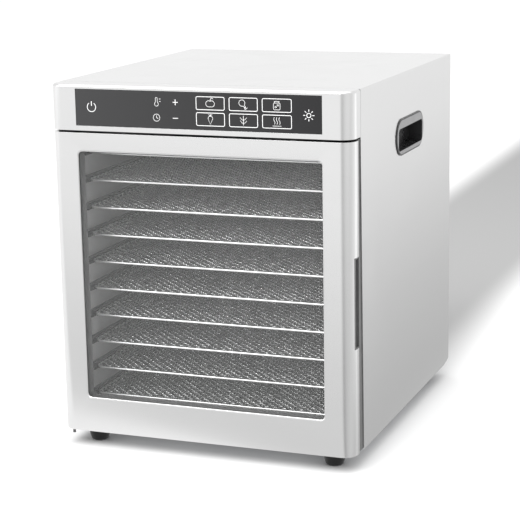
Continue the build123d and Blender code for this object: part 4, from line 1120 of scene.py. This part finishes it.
class DehydratorStudio(bpy.types.PropertyGroup):
    """Camera and light"""
    azimuth: angle("Azimuth", "Camera's angle round the object, from its front", 20.923)
    elevation: angle("Elevation", "Camera's angle above the horizon", 12.607)
    roll: angle("Roll", "Camera's tilt", -1.018)
    distance: length("Distance", "Camera to its target", 1.9837)
    lens: amount("Lens", "Focal length in millimetres", 115.8)
    target: FloatVectorProperty(name="Target", description="Point that the camera looks at",
                                default=(-0.0068, -0.02, 0.1809), unit="LENGTH")
    floor_size: length("Floor", "Width of the floor", 40.0)
    paper: amount("Paper", "Whiteness of the floor", 0.98)
    # Grey of the painted shadow on the floor under the object
    painted_shadow: amount("Contact", "Whiteness of the floor under the object", 0.4)
    surround: amount("Surround", "Brightness of the room", 1.05)
    overhead: amount("Overhead", "Power of the softbox above, in watts", 26.0)
    left: amount("Left", "Power of the softbox on the left, in watts", 6.0)
    front: amount("Front", "Power of the softbox in front, in watts", 46.0)


SETTINGS = {"dehydrator_steel": DehydratorSteel, "dehydrator_chamber": DehydratorChamber,
            "dehydrator_trays": DehydratorTrays,
            "dehydrator_panel": DehydratorPanel, "dehydrator_screws": DehydratorScrews,
            "dehydrator_studio": DehydratorStudio}
STEPS = (DEHYDRATOR_OT_casing, DEHYDRATOR_OT_fascia, DEHYDRATOR_OT_door, DEHYDRATOR_OT_chamber,
         DEHYDRATOR_OT_handles, DEHYDRATOR_OT_feet, DEHYDRATOR_OT_machinery, DEHYDRATOR_OT_screws,
         DEHYDRATOR_OT_trays, DEHYDRATOR_OT_control_panel, DEHYDRATOR_OT_stage)


class DEHYDRATOR_PT_sidebar(bpy.types.Panel):
    """Settings and steps, in the 3D view's sidebar"""
    bl_idname = "DEHYDRATOR_PT_sidebar"
    bl_label = "Food dehydrator"
    bl_space_type = "VIEW_3D"
    bl_region_type = "UI"
    bl_category = "Dehydrator"

    def draw(self, context):
        for setting, group in SETTINGS.items():
            box = self.layout.box()
            box.label(text=group.__doc__)
            for name in group.__annotations__:
                box.prop(getattr(context.scene, setting), name)
        for step in STEPS:
            self.layout.operator(step.bl_idname)


def register():
    for group in (*SETTINGS.values(), *STEPS, DEHYDRATOR_PT_sidebar):
        bpy.utils.register_class(group)
    for setting, group in SETTINGS.items():
        setattr(bpy.types.Scene, setting, PointerProperty(type=group))


def unregister():
    for setting in SETTINGS:
        delattr(bpy.types.Scene, setting)
    for group in reversed((*SETTINGS.values(), *STEPS, DEHYDRATOR_PT_sidebar)):
        bpy.utils.unregister_class(group)


def main():
    register()
    bpy.ops.dehydrator.casing()
    bpy.ops.dehydrator.fascia()
    bpy.ops.dehydrator.door()
    bpy.ops.dehydrator.chamber()
    bpy.ops.dehydrator.handles()
    bpy.ops.dehydrator.feet()
    bpy.ops.dehydrator.machinery()
    bpy.ops.dehydrator.screws()
    bpy.ops.dehydrator.trays()
    bpy.ops.dehydrator.control_panel()
    bpy.ops.dehydrator.stage()


if __name__ == "__main__":
    main()
